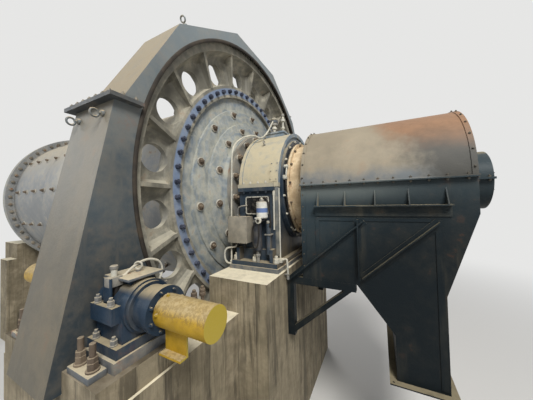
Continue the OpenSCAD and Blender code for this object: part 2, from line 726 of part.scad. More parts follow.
// Round guard over the shaft's end, with its bracket: an upright plate and a foot
module shaft_guard_solid() {
    x = pinion_end_x;
    bracket = [176, 60, 12];
    bracket_x = x + 10;
    plate_y0 = -20;
    foot_z = -pinion_centre_h + seat;
    translate([0, -pinion_y, -pinion_z]) {
        difference() {
            bar_x(x, shaft_guard_r, shaft_guard_len);
            bar_x(x - 1, shaft_guard_r - shaft_guard_t, shaft_guard_len - shaft_guard_t + 1);
        }
        difference() {
            union() {
                translate([bracket_x, plate_y0, foot_z]) cube([bracket[0], bracket[2], -foot_z - 20]);
                translate([bracket_x, plate_y0 + bracket[2] - bracket[1], foot_z]) cube(bracket);
            }
            bar_x(x - 1, shaft_guard_r - 1, shaft_guard_len);
        }
    }
}
module pinion_sole_solid() {
    start_x = 8;
    half_w = pinion_housing_r + 65;
    translate([start_x, -pinion_y - half_w, pinion_pier_z])
        cube([pinion_sole_len - start_x, 2*half_w, pinion_sole_t]);
}
// Pier of a pinion bearing: one low step carries the guard's pinion box, the other is as low as
// the main pier's lower block beside it
module pinion_pier_solid() {
    box_x = 4;
    top_x = pinion_sole_len + pinion_pier_over;
    low_x = max(pier_low_x, top_x + pinion_pier_over/2);
    plate_y(-pinion_y - pinion_pier_out, pinion_pier_in + pinion_pier_out) polygon([
        [-guard_depth/2 + seat/2, -axis_h], [-guard_depth/2 + seat/2, -box_floor_z - seat],
        [box_x, -box_floor_z - seat], [box_x, pinion_pier_z - seat], [top_x, pinion_pier_z - seat],
        [top_x, pier_low_z], [low_x, pier_low_z], [low_x, -axis_h]
    ]);
}
// Mirrors a front piece to the back of the guard
module at_guard_back() {
    translate([-guard_depth, 0, 0]) mirror([1, 0, 0]) children();
}
module pinion_bearing_front() { color("#263c5a") placed() pinion_bearing_solid(); }
module pinion_bearing_rear() { color("#263c5a") placed() at_guard_back() pinion_bearing_solid(); }
module shaft_guard_front() { color("#d7af46") placed() shaft_guard_solid(); }
module shaft_guard_rear() { color("#d7af46") placed() at_guard_back() shaft_guard_solid(); }
module pinion_sole_front() { color("#5a6068") placed() pinion_sole_solid(); }
module pinion_sole_rear() { color("#5a6068") placed() at_guard_back() pinion_sole_solid(); }
module pinion_pier_front() { color("#827a69") placed() pinion_pier_solid(); }
module pinion_pier_rear() { color("#827a69") placed() at_guard_back() pinion_pier_solid(); }

module junction_box() {
    box = [256, 150, 305];
    color("#a59b8c") placed() translate([cap_x - 70, -cap_r - box[1], -650])
        cube(box - [0, seat, 0]);
}
module inspection_window() {
    frame = [310, 30, 210];
    color("#20242a") placed() translate([cap_x + 110, -cap_r - frame[1], -320])
        cube(frame - [0, seat, 0]);
}
// Filter head on its bracket, with the bowl under it
module oil_filter() {
    out = 90;
    can = [45, 180];
    bowl = [52, 340];
    bowl_x = -45;
    color("#e0ddd4") placed() translate([cap_x + 340, -cap_r - out, -380]) {
        translate([0, 0, 20]) cylinder(r = can[0], h = can[1], $fn = 64);
        translate([-40, -70, -10]) cube([80, 120, 40]);
        translate([-40, 0, -10]) cube([80, out - seat, 20]);
        translate([bowl_x, 0, -bowl[1] - 5]) cylinder(r = bowl[0], h = bowl[1], $fn = 64);
        translate([bowl_x, 0, -bowl[1] - 20]) cylinder(r = 30, h = 20, $fn = 64);
    }
}

shell();
discharge_head();
feed_head();
girth_gear();
discharge_trunnion();
feed_trunnion();
discharge_end_ring();
feed_end_ring();
trommel();
guard_front_plate();
guard_back_plate();
guard_rim();
pinion_box_roof();
guard_plinth();
discharge_bearing_base();
discharge_bearing_cap();
discharge_sole_plate();
discharge_pier();
feed_bearing_base();
feed_bearing_cap();
feed_sole_plate();
feed_pier();
hood_shell();
hood_inlet_plate();
hood_end_plate();
end_cover();
chute_body();
chute_shelves();
chute_braces();
outlet_flange();
support_frame_near();
support_frame_far();
pinion_bearing_front();
pinion_bearing_rear();
shaft_guard_front();
shaft_guard_rear();
pinion_sole_front();
pinion_sole_rear();
pinion_pier_front();
pinion_pier_rear();
junction_box();
inspection_window();
oil_filter();
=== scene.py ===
from math import cos, pi, radians, sin

import bmesh
import bpy
from mathutils import Matrix, Vector


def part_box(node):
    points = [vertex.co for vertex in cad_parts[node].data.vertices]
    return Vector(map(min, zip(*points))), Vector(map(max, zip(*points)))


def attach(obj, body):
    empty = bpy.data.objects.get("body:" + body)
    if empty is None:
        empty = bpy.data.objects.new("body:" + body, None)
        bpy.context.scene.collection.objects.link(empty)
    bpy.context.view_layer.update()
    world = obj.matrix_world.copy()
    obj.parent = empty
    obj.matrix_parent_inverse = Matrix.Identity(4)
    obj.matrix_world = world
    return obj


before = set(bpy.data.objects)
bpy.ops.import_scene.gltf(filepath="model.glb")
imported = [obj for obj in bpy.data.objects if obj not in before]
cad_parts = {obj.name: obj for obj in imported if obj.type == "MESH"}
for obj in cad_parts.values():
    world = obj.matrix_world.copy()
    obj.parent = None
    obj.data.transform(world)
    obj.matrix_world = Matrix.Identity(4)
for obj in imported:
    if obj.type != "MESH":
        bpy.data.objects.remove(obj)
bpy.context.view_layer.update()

# CAMERA. A very wide lens beside the discharge end, a little under the height of the drum's
# axis, placed so that the guard, the bolt circles and the hood lie as in the photograph.
# Places in this file are metres from the point where the drum's axis meets the guard's front.
guard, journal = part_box("guard_front_plate"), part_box("discharge_trunnion")
AXIS = Vector((guard[1][0], (journal[0][1] + journal[1][1]) / 2, (journal[0][2] + journal[1][2]) / 2))


def at(x, y, z):
    return AXIS + Vector((x, y, z))


def on_circle(x, radius, degrees):
    """A point round the drum's axis, with the angle counted from the pinion's side upwards."""
    return at(x, -radius * cos(radians(degrees)), radius * sin(radians(degrees)))


bpy.ops.object.select_all(action="DESELECT")
bpy.ops.object.camera_add(location=at(1.6875, -3.1354, -0.1781))
camera = bpy.context.object
camera.name = "photo_camera"
yaw, pitch, roll = radians(26.842), radians(1.376), radians(-1.343)
ahead = Vector((-sin(yaw) * cos(pitch), cos(yaw) * cos(pitch), sin(pitch)))
level = Vector((cos(yaw), sin(yaw), 0))
plumb = level.cross(ahead)
to_right = level * cos(roll) + plumb * sin(roll)
to_top = plumb * cos(roll) - level * sin(roll)
aim = Matrix((to_right, to_top, -ahead)).transposed().to_4x4()
camera.matrix_world = Matrix.Translation(camera.location) @ aim
camera.data.sensor_width = 36
camera.data.lens = 15.036
camera.data.shift_y = -0.00625
camera.data.clip_end = 200
bpy.context.scene.camera = camera

# FLOOR AND LIGHT. A plain pale floor that fades into a pale background, with a broad lamp high
# in front, a softer one from the left and a weak one behind.


def feed(node, inputs):
    """Fills a node's inputs, each with a plain value or from another node's output."""
    for socket, value in inputs.items():
        if isinstance(value, bpy.types.NodeSocket):
            node.id_data.links.new(value, node.inputs[socket])
        else:
            node.inputs[socket].default_value = value


def add_node(tree, kind, inputs=None, **settings):
    node = tree.nodes.new("ShaderNode" + kind)
    for setting, choice in settings.items():
        setattr(node, setting, choice)
    feed(node, inputs or {})
    return node


def start_material(name):
    """A new material, its surface, and the node that gives places and directions on the piece."""
    made = bpy.data.materials.new(name)
    made.use_nodes = True
    made.node_tree.nodes.clear()
    surface = add_node(made.node_tree, "BsdfPrincipled")
    add_node(made.node_tree, "OutputMaterial", {"Surface": surface.outputs["BSDF"]})
    return made, surface, add_node(made.node_tree, "TexCoord")


def ramp(value, low, high, to_low=0.0, to_high=1.0):
    """Spreads value between low and high smoothly over to_low to to_high."""
    spread = {"Value": value, "From Min": low, "From Max": high, "To Min": to_low, "To Max": to_high}
    return add_node(value.id_data, "MapRange", spread, interpolation_type="SMOOTHSTEP").outputs["Result"]


def sum_up(how, first, second=0):
    """Works out one value from two, of which either may be a plain number."""
    tree = (second if isinstance(first, (int, float)) else first).id_data
    return add_node(tree, "Math", {0: first, 1: second}, operation=how).outputs[0]


background = {"Color": (0.90, 0.90, 0.89, 1), "Strength": 0.88}
bpy.ops.mesh.primitive_plane_add(size=120, location=(0, 0, 0))
floor = bpy.context.object
floor.name = "floor"
pale_floor, surface, coords = start_material("pale_floor")
feed(surface, {"Base Color": (0.66, 0.655, 0.64, 1), "Roughness": 0.9})
from_mill = add_node(pale_floor.node_tree, "VectorMath", {0: coords.outputs["Object"]}, operation="LENGTH")
far_off = ramp(from_mill.outputs["Value"], 4, 13)
glow = add_node(pale_floor.node_tree, "Emission", background)
fade = add_node(pale_floor.node_tree, "MixShader", {0: far_off, 1: surface.outputs[0], 2: glow.outputs[0]})
feed(pale_floor.node_tree.nodes["Material Output"], {"Surface": fade.outputs[0]})
floor.data.materials.append(pale_floor)

world = bpy.data.worlds.new("pale_room")
bpy.context.scene.world = world
world.use_nodes = True
world.node_tree.nodes.clear()
rays = add_node(world.node_tree, "LightPath").outputs
looked_at = sum_up("MAXIMUM", sum_up("MAXIMUM", rays["Is Camera Ray"], rays["Is Transmission Ray"]),
                   rays["Is Glossy Ray"])
room_light = add_node(world.node_tree, "Background", {"Color": (0.90, 0.92, 0.95, 1), "Strength": 0.25})
room_seen = add_node(world.node_tree, "Background", background)
either = add_node(world.node_tree, "MixShader",
                  {0: looked_at, 1: room_light.outputs[0], 2: room_seen.outputs[0]})
add_node(world.node_tree, "OutputWorld", {"Surface": either.outputs[0]})


def hang_lamp(name, place, target, size, watts, colour):
    bpy.ops.object.light_add(type="AREA", location=place)
    lamp = bpy.context.object
    lamp.name = name
    lamp.data.shape = "DISK"
    lamp.data.size = size
    lamp.data.energy = watts
    lamp.data.color = colour
    lamp.rotation_euler = (Vector(target) - Vector(place)).to_track_quat("-Z", "Y").to_euler()


hang_lamp("roof_lamp", (6.5, -6.0, 9.5), at(0, 0, 0), 4.0, 1150, (1.0, 0.98, 0.94))
hang_lamp("side_lamp", (-7.0, -8.0, 6.5), at(-1.5, 0, -0.5), 6.0, 330, (0.94, 0.97, 1.0))
hang_lamp("back_lamp", (-3.0, 9.0, 8.0), at(-1.5, 0, 0), 5.0, 480, (1.0, 0.98, 0.95))

# DRUM SHELL. Rolled steel plate, welded into one drum and bolted to the heads by a flange at
# each end. It was painted grey once and now lies under a coat of pale ore dust that is
# thickest on top, with worn streaks down the sides.


def colour_of(tone, brightness=1):
    """A colour read as 0 to 255 from the photograph, as the shader wants it."""
    linear = [v / 255 / 12.92 if v / 255 <= 0.04045 else ((v / 255 + 0.055) / 1.055) ** 2.4 for v in tone]
    return tuple(min(brightness * v, 1) for v in linear) + (1,)


def patches(coords, size, detail=6, stretch=(1, 1, 1), rough=0.55):
    """Noise from 0 to 1 whose spots are about that many metres across."""
    spread = add_node(coords.id_data, "Mapping", {"Vector": coords.outputs["Object"], "Scale": stretch})
    cloud = {"Vector": spread.outputs[0], "Scale": 1 / size, "Detail": detail, "Roughness": rough}
    return add_node(coords.id_data, "TexNoise", cloud).outputs["Fac"]


def times(first, second):
    return sum_up("MULTIPLY", first, second)


def place_along(coords, axis):
    """Where the surface is along X, Y or Z."""
    return add_node(coords.id_data, "SeparateXYZ", {0: coords.outputs["Object"]}).outputs[axis]


def faces_along(coords, axis):
    """How far the surface faces along X, Y or Z, from -1 to 1."""
    return add_node(coords.id_data, "SeparateXYZ", {0: coords.outputs["Normal"]}).outputs[axis]


def blend_colours(share, first, second, brightness=(1, 1)):
    """From the first colour to the second, each from a node or as it is read from the photograph."""
    first, second = (colour_of(tone, bright) if isinstance(tone, tuple) else tone
                     for tone, bright in zip((first, second), brightness))
    return add_node(share.id_data, "Mix", {0: share, 6: first, 7: second}, data_type="RGBA").outputs[2]


def raise_grain(surface, *layers):
    """Bump from layers of (height value, depth in metres)."""
    below = {}
    for value, depth in layers:
        relief = {"Strength": 1.0, "Distance": depth, "Height": value, **below}
        below = {"Normal": add_node(surface.id_data, "Bump", relief).outputs["Normal"]}
    feed(surface, below)


def dusty_paint(name, paint, dust, top=0.5, film=0.5, rust=0.1, streaks=0.1, rough=0.5, patch=0.2,
                settle=(0.05, 0.85), gloss=0.3, zones=None):
    """Worn paint: tone in broad patches, dust on what faces up and as a thin film, drips and rust spots.
    zones may change the paint's colour by place, and says how much of its dust each place keeps."""
    made, surface, coords = start_material(name)
    broad = patches(coords, patch, 5)
    mottle = patches(coords, 0.11, 8, rough=0.62)
    grain = patches(coords, 0.012, 4, rough=0.7)
    drips = patches(coords, 0.16, stretch=(1, 1, 0.12), rough=0.6)
    shade, dusty = blend_colours(ramp(broad, 0.3, 0.72), paint, paint, (0.78, 1.18)), 1.0
    if zones:
        shade, dusty = zones(coords, shade)
    lying = times(ramp(faces_along(coords, "Z"), *settle, 0, top), ramp(mottle, 0.22, 0.55, 0.55, 1))
    hanging = times(ramp(drips, 0.48, 0.66, 0, streaks), ramp(broad, 0.3, 0.6))
    thin = ramp(times(mottle, broad), 0.17, 0.40, film * 0.2, film)
    covered = times(sum_up("MAXIMUM", sum_up("MAXIMUM", lying, hanging), thin), dusty)
    colour = blend_colours(covered, shade, blend_colours(grain, dust, dust, (0.86, 1.1)))
    if rust:
        eaten = times(ramp(mottle, 0.60 - 0.12 * rust, 0.68 - 0.08 * rust), ramp(broad, 0.42, 0.62))
        rusty = blend_colours(grain, (92, 52, 30), (150, 92, 55))
        colour = blend_colours(times(eaten, min(rust * 1.6, 0.95)), colour, rusty)
    dull = ramp(covered, 0, 1, rough, 0.93)
    feed(surface, {"Base Color": colour, "Roughness": dull, "Specular IOR Level": gloss})
    raise_grain(surface, (mottle, 0.004), (grain, 0.0012))
    return made


def finish_node(material, *names):
    """Gives CAD nodes this material in place of their plain one."""
    for name in names:
        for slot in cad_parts[name].material_slots:
            slot.material = material


def finish_piece(piece, material, body):
    piece.data.materials.append(material)
    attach(piece, body)


def pick_faces(test):
    """In edit mode, selects the faces whose middle and normal pass the test, and no others."""
    bpy.context.tool_settings.mesh_select_mode = (False, False, True)
    mesh = bmesh.from_edit_mesh(bpy.context.object.data)
    for face in mesh.faces:
        face.select_set(bool(test(face.calc_center_median(), face.normal)))
    mesh.select_flush_mode()
    bmesh.update_edit_mesh(bpy.context.object.data)


def model_nut(name, nut, washer, stud, sides=10):
    """A chamfered hexagon nut on a round washer, with the stud's end through it, on the origin.
    Each of the three is given as its width and its height."""
    base = washer[1] * 1.3
    top = base + nut[1] + nut[0] * 0.05 + stud[1]
    # Of each: corners, radius, low end, high end, and its chamfer's width and rise.
    levels = (
        (sides, washer[0] / 2, 0, washer[1], washer[1] * 0.4, washer[1] * 0.3),
        (6, nut[0] / 2 / cos(pi / 6), base, base + nut[1], nut[0] * 0.07, nut[0] * 0.05),
        (max(sides - 4, 8), stud[0] / 2, top - stud[1] - nut[1] / 2, top, stud[0] * 0.12, stud[0] * 0.08),
    )
    bpy.ops.object.select_all(action="DESELECT")
    for corners, radius, low, high, width, rise in levels:
        bpy.ops.mesh.primitive_cylinder_add(vertices=corners, radius=radius, depth=high - low,
                                            location=(0, 0, (low + high) / 2))
        if bpy.context.mode == "OBJECT":
            bpy.ops.object.transform_apply(location=True)
            bpy.ops.object.mode_set(mode="EDIT")
        pick_faces(lambda middle, normal: normal.z > 0.9 and middle.z > high - 0.0001)
        bpy.ops.mesh.inset(thickness=width)
        bpy.ops.transform.translate(value=(0, 0, rise))
    bpy.ops.object.mode_set(mode="OBJECT")
    made = bpy.context.object
    made.name = name
    for face in made.data.polygons:
        face.material_index = 1 if face.center.z > base - 0.0001 else 0
    return made


def fasten(model, name, spots, body, washer, nut=None, last=True):
    """Copies the model to each (place, direction, turn in degrees), each with its own mesh, as one
    piece, in the washer's material and the nut's. The last piece made of a model removes it."""
    bpy.ops.object.select_all(action="DESELECT")
    for number, material in enumerate((washer, nut or washer)):
        if number == len(model.data.materials):
            model.data.materials.append(None)
        model.data.materials[number] = material
    copies = []
    for place, facing, turn in spots:
        copy = model.copy()
        copy.data = model.data.copy()
        bpy.context.collection.objects.link(copy)
        upright = facing.to_track_quat("Z", "Y").to_matrix().to_4x4()
        copy.matrix_world = Matrix.Translation(place) @ upright @ Matrix.Rotation(radians(turn), 4, "Z")
        copy.select_set(True)
        copies.append(copy)
    bpy.context.view_layer.update()
    bpy.context.view_layer.objects.active = copies[0]
    bpy.ops.object.join()
    bpy.ops.object.transform_apply()
    piece = bpy.context.object
    piece.name = piece.data.name = name
    if last:
        bpy.data.objects.remove(model)
    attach(piece, body)


def out_at(degrees):
    """The direction away from the drum's axis at that angle."""
    return on_circle(0, 1, degrees) - AXIS


drum_paint = dusty_paint("drum_paint", (122, 128, 134), (190, 180, 160), top=0.95, film=0.6, rust=0.25,
                         streaks=0.5, rough=0.55, patch=0.9)
finish_node(drum_paint, "shell")
bolt_steel = dusty_paint("bolt_steel", (96, 92, 86), (186, 174, 150), top=0.8, rust=0.5)
pale_washer = dusty_paint("pale_washer", (158, 156, 148), (190, 184, 168), top=0.6)
brown_bolt = dusty_paint("brown_bolt", (84, 72, 62), (160, 146, 124), top=0.6, film=0.3, rust=0.12, rough=0.55)

# Liner bolts come through the shell in rows, each with a cup washer and a nut.
SHELL_RADIUS, LINER_ROWS, LINER_START, LINER_STEP = 1.3945, 14, -0.62, 0.3764
liner_nut = model_nut("liner_nut", (0.044, 0.026), (0.086, 0.012), (0.026, 0.014))
liner_places = [(LINER_START - LINER_STEP * k, 360 / LINER_ROWS * row + 5)
                for row in range(LINER_ROWS) for k in range(12)]
fasten(liner_nut, "shell_liner_bolts",
       [(on_circle(x, SHELL_RADIUS, a), out_at(a), 15 * (k % 4)) for k, (x, a) in enumerate(liner_places)],
       "mill", pale_washer, brown_bolt)


def turned(name, outline, steps=96):
    """Spins an outline of (x, radius) once round the drum's axis."""
    bpy.ops.object.select_all(action="DESELECT")
    bpy.ops.mesh.primitive_circle_add(vertices=len(outline), location=(0, 0, 0))
    ring = bpy.context.object
    ring.name = ring.data.name = name
    for vertex, (x, radius) in zip(ring.data.vertices, outline):
        vertex.co = at(x, -radius, 0)
    bpy.ops.object.mode_set(mode="EDIT")
    bpy.ops.mesh.select_all(action="SELECT")
    bpy.ops.mesh.spin(steps=steps, angle=2 * pi, center=AXIS, axis=(1, 0, 0))
    bpy.ops.mesh.select_all(action="SELECT")
    bpy.ops.mesh.remove_doubles(threshold=0.0001)
    bpy.ops.mesh.normals_make_consistent(inside=False)
    bpy.ops.object.mode_set(mode="OBJECT")
    bpy.ops.object.shade_smooth_by_angle(angle=radians(40))
    return ring


# The shell's strakes are joined by welds that stand a little proud all the way round.
BEAD = ((-0.012, 1.394), (-0.007, 1.3985), (0, 1.400), (0.007, 1.3985), (0.012, 1.394))
for number, middle in enumerate((-1.52, -3.69)):
    bead = turned(f"shell_weld_{number + 1}", [(middle + x, radius) for x, radius in BEAD])
    finish_piece(bead, drum_paint, "mill")

# CAST HEADS. One steel casting closes each end of the drum, bolted between the shell's flange
# and the trunnion's. Dusty grey, with blue paint showing in rings where slurry ran over it.
DRUM_MIDDLE = -2.69


def ring_of(count, x, radius, first, turn, side=1, lean=0):
    """Places evenly round the axis from the first angle on, facing along it or leaning outwards."""
    angles = [360 / count * k + first for k in range(count)]
    return [(on_circle(x, radius, a), Vector((side, 0, 0)) + lean * out_at(a), turn * k)
            for k, a in enumerate(angles)]


def mirrored(spots, middle=DRUM_MIDDLE):
    """The same places beyond the middle, for what both ends have."""
    return [(Vector((2 * (AXIS.x + middle) - place.x, place.y, place.z)),
             Vector((-facing.x, facing.y, facing.z)), turn) for place, facing, turn in spots]


def fasten_both_ends(model, what, spots, body, washer, nut=None, last=True):
    """The same bolts at the discharge end and at the feed end."""
    fasten(model, f"discharge_{what}", spots, body, washer, nut, last=False)
    fasten(model, f"feed_{what}", mirrored(spots), body, washer, nut, last)


def radius_at(coords):
    """Distance from the drum's axis."""
    tree = coords.id_data
    from_axis = add_node(tree, "VectorMath", {0: coords.outputs["Object"], 1: AXIS}, operation="SUBTRACT")
    across = add_node(tree, "VectorMath", {0: from_axis.outputs[0], 1: (0, 1, 1)}, operation="MULTIPLY")
    return add_node(tree, "VectorMath", {0: across.outputs[0]}, operation="LENGTH").outputs["Value"]


def scoured_rings(coords, shade):
    """Slurry that runs off the turning head leaves rings of bluer and of greyer paint."""
    wobble = ramp(patches(coords, 0.35, rough=0.6), 0.2, 0.8, -0.09, 0.09)
    wandering = {"W": sum_up("ADD", radius_at(coords), wobble), "Scale": 9, "Detail": 5}
    rings = add_node(coords.id_data, "TexNoise", wandering, noise_dimensions="1D").outputs["Fac"]
    grime = ramp(patches(coords, 0.045, 7, stretch=(1, 1, 0.35), rough=0.65), 0.40, 0.72, 0, 0.5)
    shade = blend_colours(ramp(rings, 0.35, 0.65), shade, (146, 147, 137))
    return blend_colours(grime, shade, (92, 94, 90)), 1.0


head_paint = dusty_paint("head_paint", (104, 120, 136), (170, 169, 158), film=0.7, rust=0.12, streaks=0.6,
                         patch=0.22, zones=scoured_rings)
finish_node(head_paint, "discharge_head", "feed_head")

# Two rings of liner bolts hold the plates inside each head: a nut on a large cup washer.
head_nut = model_nut("head_nut", (0.044, 0.026), (0.100, 0.016), (0.026, 0.014), sides=16)
fasten_both_ends(head_nut, "head_bolts",
                 ring_of(14, -0.1815, 1.189, 15.4, 11, lean=0.188)
                 + ring_of(14, -0.0990, 0.937, 14.6, 11, lean=0.352),
                 "mill", pale_washer, brown_bolt)

# GIRTH GEAR. A steel casting with 190 teeth, bolted to the drum's flange. Pale dust and
# grease cover its web, while the ring that its nuts stand on is bare blue-grey paint.


def all_but(share, part):
    """What is left of 1 when that part of a share is taken away."""
    return sum_up("SUBTRACT", 1.0, times(share, part))


def blue_nut_ring(coords, shade):
    """The ring that the nuts stand on was wiped clean, and its paint shows blue."""
    radius = radius_at(coords)
    wiped = times(ramp(radius, 1.46, 1.48), ramp(radius, 1.548, 1.566, 1, 0))
    worn = blend_colours(patches(coords, 0.05), (80, 100, 134), (122, 138, 162))
    return blend_colours(wiped, shade, worn), all_but(wiped, 0.6)


# The web's paint is dark and its up-facing faces are pale, partly real dust and partly painted light on the lit
# tops.
gear_casting = dusty_paint("gear_casting", (98, 97, 90), (184, 178, 160), top=0.75, film=0.6, rust=0.15,
                           streaks=0.3, patch=0.3, zones=blue_nut_ring)
finish_node(gear_casting, "girth_gear")

# Sixty dark studs and nuts hold the gear's flange, the head and the shell together. The front nuts are near
# black, partly oil and partly painted shade.
oily_and_shaded_nut = dusty_paint("oily_and_shaded_nut", (34, 38, 52), (118, 126, 146), film=0.25, rough=0.35, patch=0.15)
flange_nut = model_nut("flange_nut", (0.050, 0.030), (0.056, 0.005), (0.028, 0.008), sides=12)
fasten(flange_nut, "gear_flange_nuts", ring_of(60, -0.1705, 1.512, 2, 6), "mill", oily_and_shaded_nut,
       last=False)
fasten(flange_nut, "gear_flange_rear_nuts", ring_of(60, -0.3545, 1.455, 2, 6, side=-1), "mill",
       bolt_steel, last=False)
fasten(flange_nut, "feed_flange_nuts",
       ring_of(60, -5.1445, 1.455, 2, 6, side=-1) + ring_of(60, -5.0255, 1.455, 2, 6), "mill",
       bolt_steel)

# TRUNNIONS. Hollow steel journals, turned smooth, that carry the drum in its bearings. A flange
# on each is held to its head by eighteen nuts.
journal_steel = dusty_paint("journal_steel", (120, 122, 122), (170, 158, 135), film=0.6, rust=0.4,
                            streaks=0.3, rough=0.4, patch=0.4)
finish_node(journal_steel, "discharge_trunnion", "feed_trunnion")
trunnion_nut = model_nut("trunnion_nut", (0.060, 0.040), (0.078, 0.010), (0.036, 0.024), sides=12)
fasten_both_ends(trunnion_nut, "trunnion_nuts", ring_of(18, 0.0305, 0.789, 12.3, 7), "mill",
                 pale_washer, brown_bolt)

# END RINGS AND TROMMEL. Rings cut from steel plate and bolted to the trunnions' ends, and the
# welded screen that turns with the drum inside the hood. All of it is bare and rusty.
rusty_steel = dusty_paint("rusty_steel", (168, 144, 112), (218, 200, 168), film=1.0, rust=0.55, streaks=0.7,
                          rough=0.75, patch=0.14)
finish_node(rusty_steel, "trommel", "feed_end_ring")


def black_in_front(coords, shade):
    """The rubber lip on the ring's bearing side is black, and the rest is the neck's rusty steel."""
    lip = ramp(place_along(coords, "X"), AXIS.x + 0.694, AXIS.x + 0.697, 1, 0)
    return blend_colours(lip, shade, (26, 25, 25)), all_but(lip, 0.8)


black_ring = dusty_paint("black_ring", (172, 148, 116), (222, 204, 172), film=1.0, rust=0.5, streaks=0.7,
                         rough=0.7, patch=0.14, zones=black_in_front)
finish_node(black_ring, "discharge_end_ring")
ring_bolt = model_nut("ring_bolt", (0.024, 0.014), (0.034, 0.004), (0.012, 0.006))
RING_FACE = 0.7252
fasten(ring_bolt, "discharge_ring_bolts", ring_of(16, RING_FACE, 0.6175, 5, 9), "mill",
       brown_bolt, last=False)
fasten(ring_bolt, "feed_ring_bolts", ring_of(16, 2 * DRUM_MIDDLE - RING_FACE, 0.600, 5, 9, side=-1), "mill",
       brown_bolt)

# GEAR GUARD. A casing of folded and welded steel plate that stands round the gear on a plinth,
# in blue-grey paint that is dusty on its upper facets.


def greyer_above(coords, shade):
    """The guard is coloured deep blue at its foot and greyer towards its top, and browner on faces not turned
    along the drum's axis.
    """
    cloud = ramp(patches(coords, 0.9, 5), 0.2, 0.8, -0.5, 0.5)
    height = sum_up("ADD", place_along(coords, "Z"), cloud)
    shade = blend_colours(ramp(height, AXIS.z - 0.9, AXIS.z + 1.9), (34, 50, 61), (106, 116, 121))
    sides = ramp(sum_up("ABSOLUTE", faces_along(coords, "X")), 0.3, 0.6, 0.5, 0)
    return blend_colours(sides, shade, (112, 102, 80)), 1.0


guard_paint = dusty_paint("guard_paint", (80, 101, 124), (176, 157, 126), top=1.0, film=0.15, rust=0.08,
                          streaks=0.14, rough=0.42, patch=0.8, settle=(0.3, 0.75), zones=greyer_above)
finish_node(guard_paint, "guard_front_plate", "guard_back_plate", "guard_rim")
roof_paint = dusty_paint("roof_paint", (46, 54, 62), (172, 160, 138), top=1.0, film=0.2, rust=0.3,
                         streaks=0.2, patch=0.3, gloss=0.25)
finish_node(roof_paint, "pinion_box_roof")

# A black rubber strip grips the edge of each round opening in the guard.
black_rubber = dusty_paint("black_rubber", (26, 25, 25), (110, 96, 78), top=0.4, film=0.3, rust=0.0,
                           rough=0.7, patch=0.3)
STRIP = ((0.0005, 2.078), (0.009, 2.076), (0.013, 2.066), (0.012, 2.050), (0.006, 2.043), (-0.016, 2.043),
         (-0.022, 2.050), (-0.0125, 2.0505), (0.0005, 2.0505))
for name, face, side in (("front_opening_seal", 0.0, 1), ("rear_opening_seal", -0.537, -1)):
    strip = turned(name, [(face + side * x, radius) for x, radius in STRIP], steps=144)
    finish_piece(strip, black_rubber, "plant")

# Lifting eyes stand on the guard's upper corners and hang from the pinion box's sides.
bpy.ops.object.select_all(action="DESELECT")
bpy.ops.mesh.primitive_cylinder_add(vertices=14, radius=0.024, depth=0.016, location=(0, 0, 0.008))
lifting_eye = bpy.context.object
lifting_eye.name = "lifting_eye"
bpy.ops.object.transform_apply(location=True)
bpy.ops.object.mode_set(mode="EDIT")
pick_faces(lambda middle, normal: normal.z > 0.9)
bpy.ops.mesh.inset(thickness=0.006)
bpy.ops.transform.translate(value=(0, 0, 0.006))
bpy.ops.mesh.inset(thickness=0.008)
bpy.ops.mesh.extrude_region_move(TRANSFORM_OT_translate={"value": (0, 0, 0.018)})
bpy.ops.mesh.select_all(action="DESELECT")
bpy.ops.mesh.primitive_torus_add(major_radius=0.028, minor_radius=0.008, major_segments=24, minor_segments=8,
                                 location=(0, 0, 0.062), rotation=(pi / 2, 0, 0))
bpy.ops.object.mode_set(mode="OBJECT")
bpy.ops.object.shade_smooth_by_angle(angle=radians(45))
fasten(lifting_eye, "guard_lifting_eyes",
       [(at(-0.040, side * 1.4846, 1.6514), Vector((0, side * 0.5, 0.866)), 0) for side in (-1, 1)]
       + [(at(x, -2.2235, 0.50), Vector((0, -1, -0.207)), 90) for x in (-0.10, -0.437)],
       "plant", guard_paint)

# Small bolts hold the roof flange's two halves, and others close the joints of the rim.
up, down = Vector((0, 0, 1)), Vector((0, 0, -1))
roof_bolt = model_nut("roof_bolt", (0.026, 0.016), (0.036, 0.005), (0.014, 0.010))
roof_places = [(-0.54 + 0.09 * k, -2.234) for k in range(7)]
roof_places += [(x, y) for x in (0.030, -0.567) for y in (-2.16, -2.06)]
fasten(roof_bolt, "roof_flange_bolts", [(at(x, y, 0.6245), up, 20) for x, y in roof_places],
       "plant", bolt_steel)

# MAIN BEARINGS. Cast housings split at the axis, each half with a bolted flange, on a sole plate
# that is bolted to the pier. The bases are dark blue, and the caps carry a thick even coat of
# beige dust on all their round side.


def grimy_ends(coords, shade):
    """Brown grime splashed from the seal covers the lower part of each base's end."""
    ends = ramp(sum_up("ABSOLUTE", faces_along(coords, "X")), 0.7, 0.95)
    low = ramp(place_along(coords, "Z"), AXIS.z - 0.80, AXIS.z - 0.40, 0.95, 0.12)
    streaky = ramp(patches(coords, 0.10, 7, stretch=(1, 1, 0.15), rough=0.65), 0.30, 0.55, 0.45, 1)
    return blend_colours(times(times(ends, low), streaky), shade, (92, 84, 70)), 1.0


bearing_paint = dusty_paint("bearing_paint", (32, 52, 70), (160, 148, 124), top=0.95, film=0.16, streaks=0.25,
                            rough=0.4, patch=0.35, gloss=0.25, zones=grimy_ends)
finish_node(bearing_paint, "discharge_bearing_base", "feed_bearing_base")


def dusty_flange(coords, shade):
    """Dust clings to the cap's flange too, so only its end face shows the blue."""
    low = ramp(place_along(coords, "Z"), AXIS.z + 0.044, AXIS.z + 0.047, 0.8, 0)
    return blend_colours(low, shade, (168, 160, 138)), 1.0


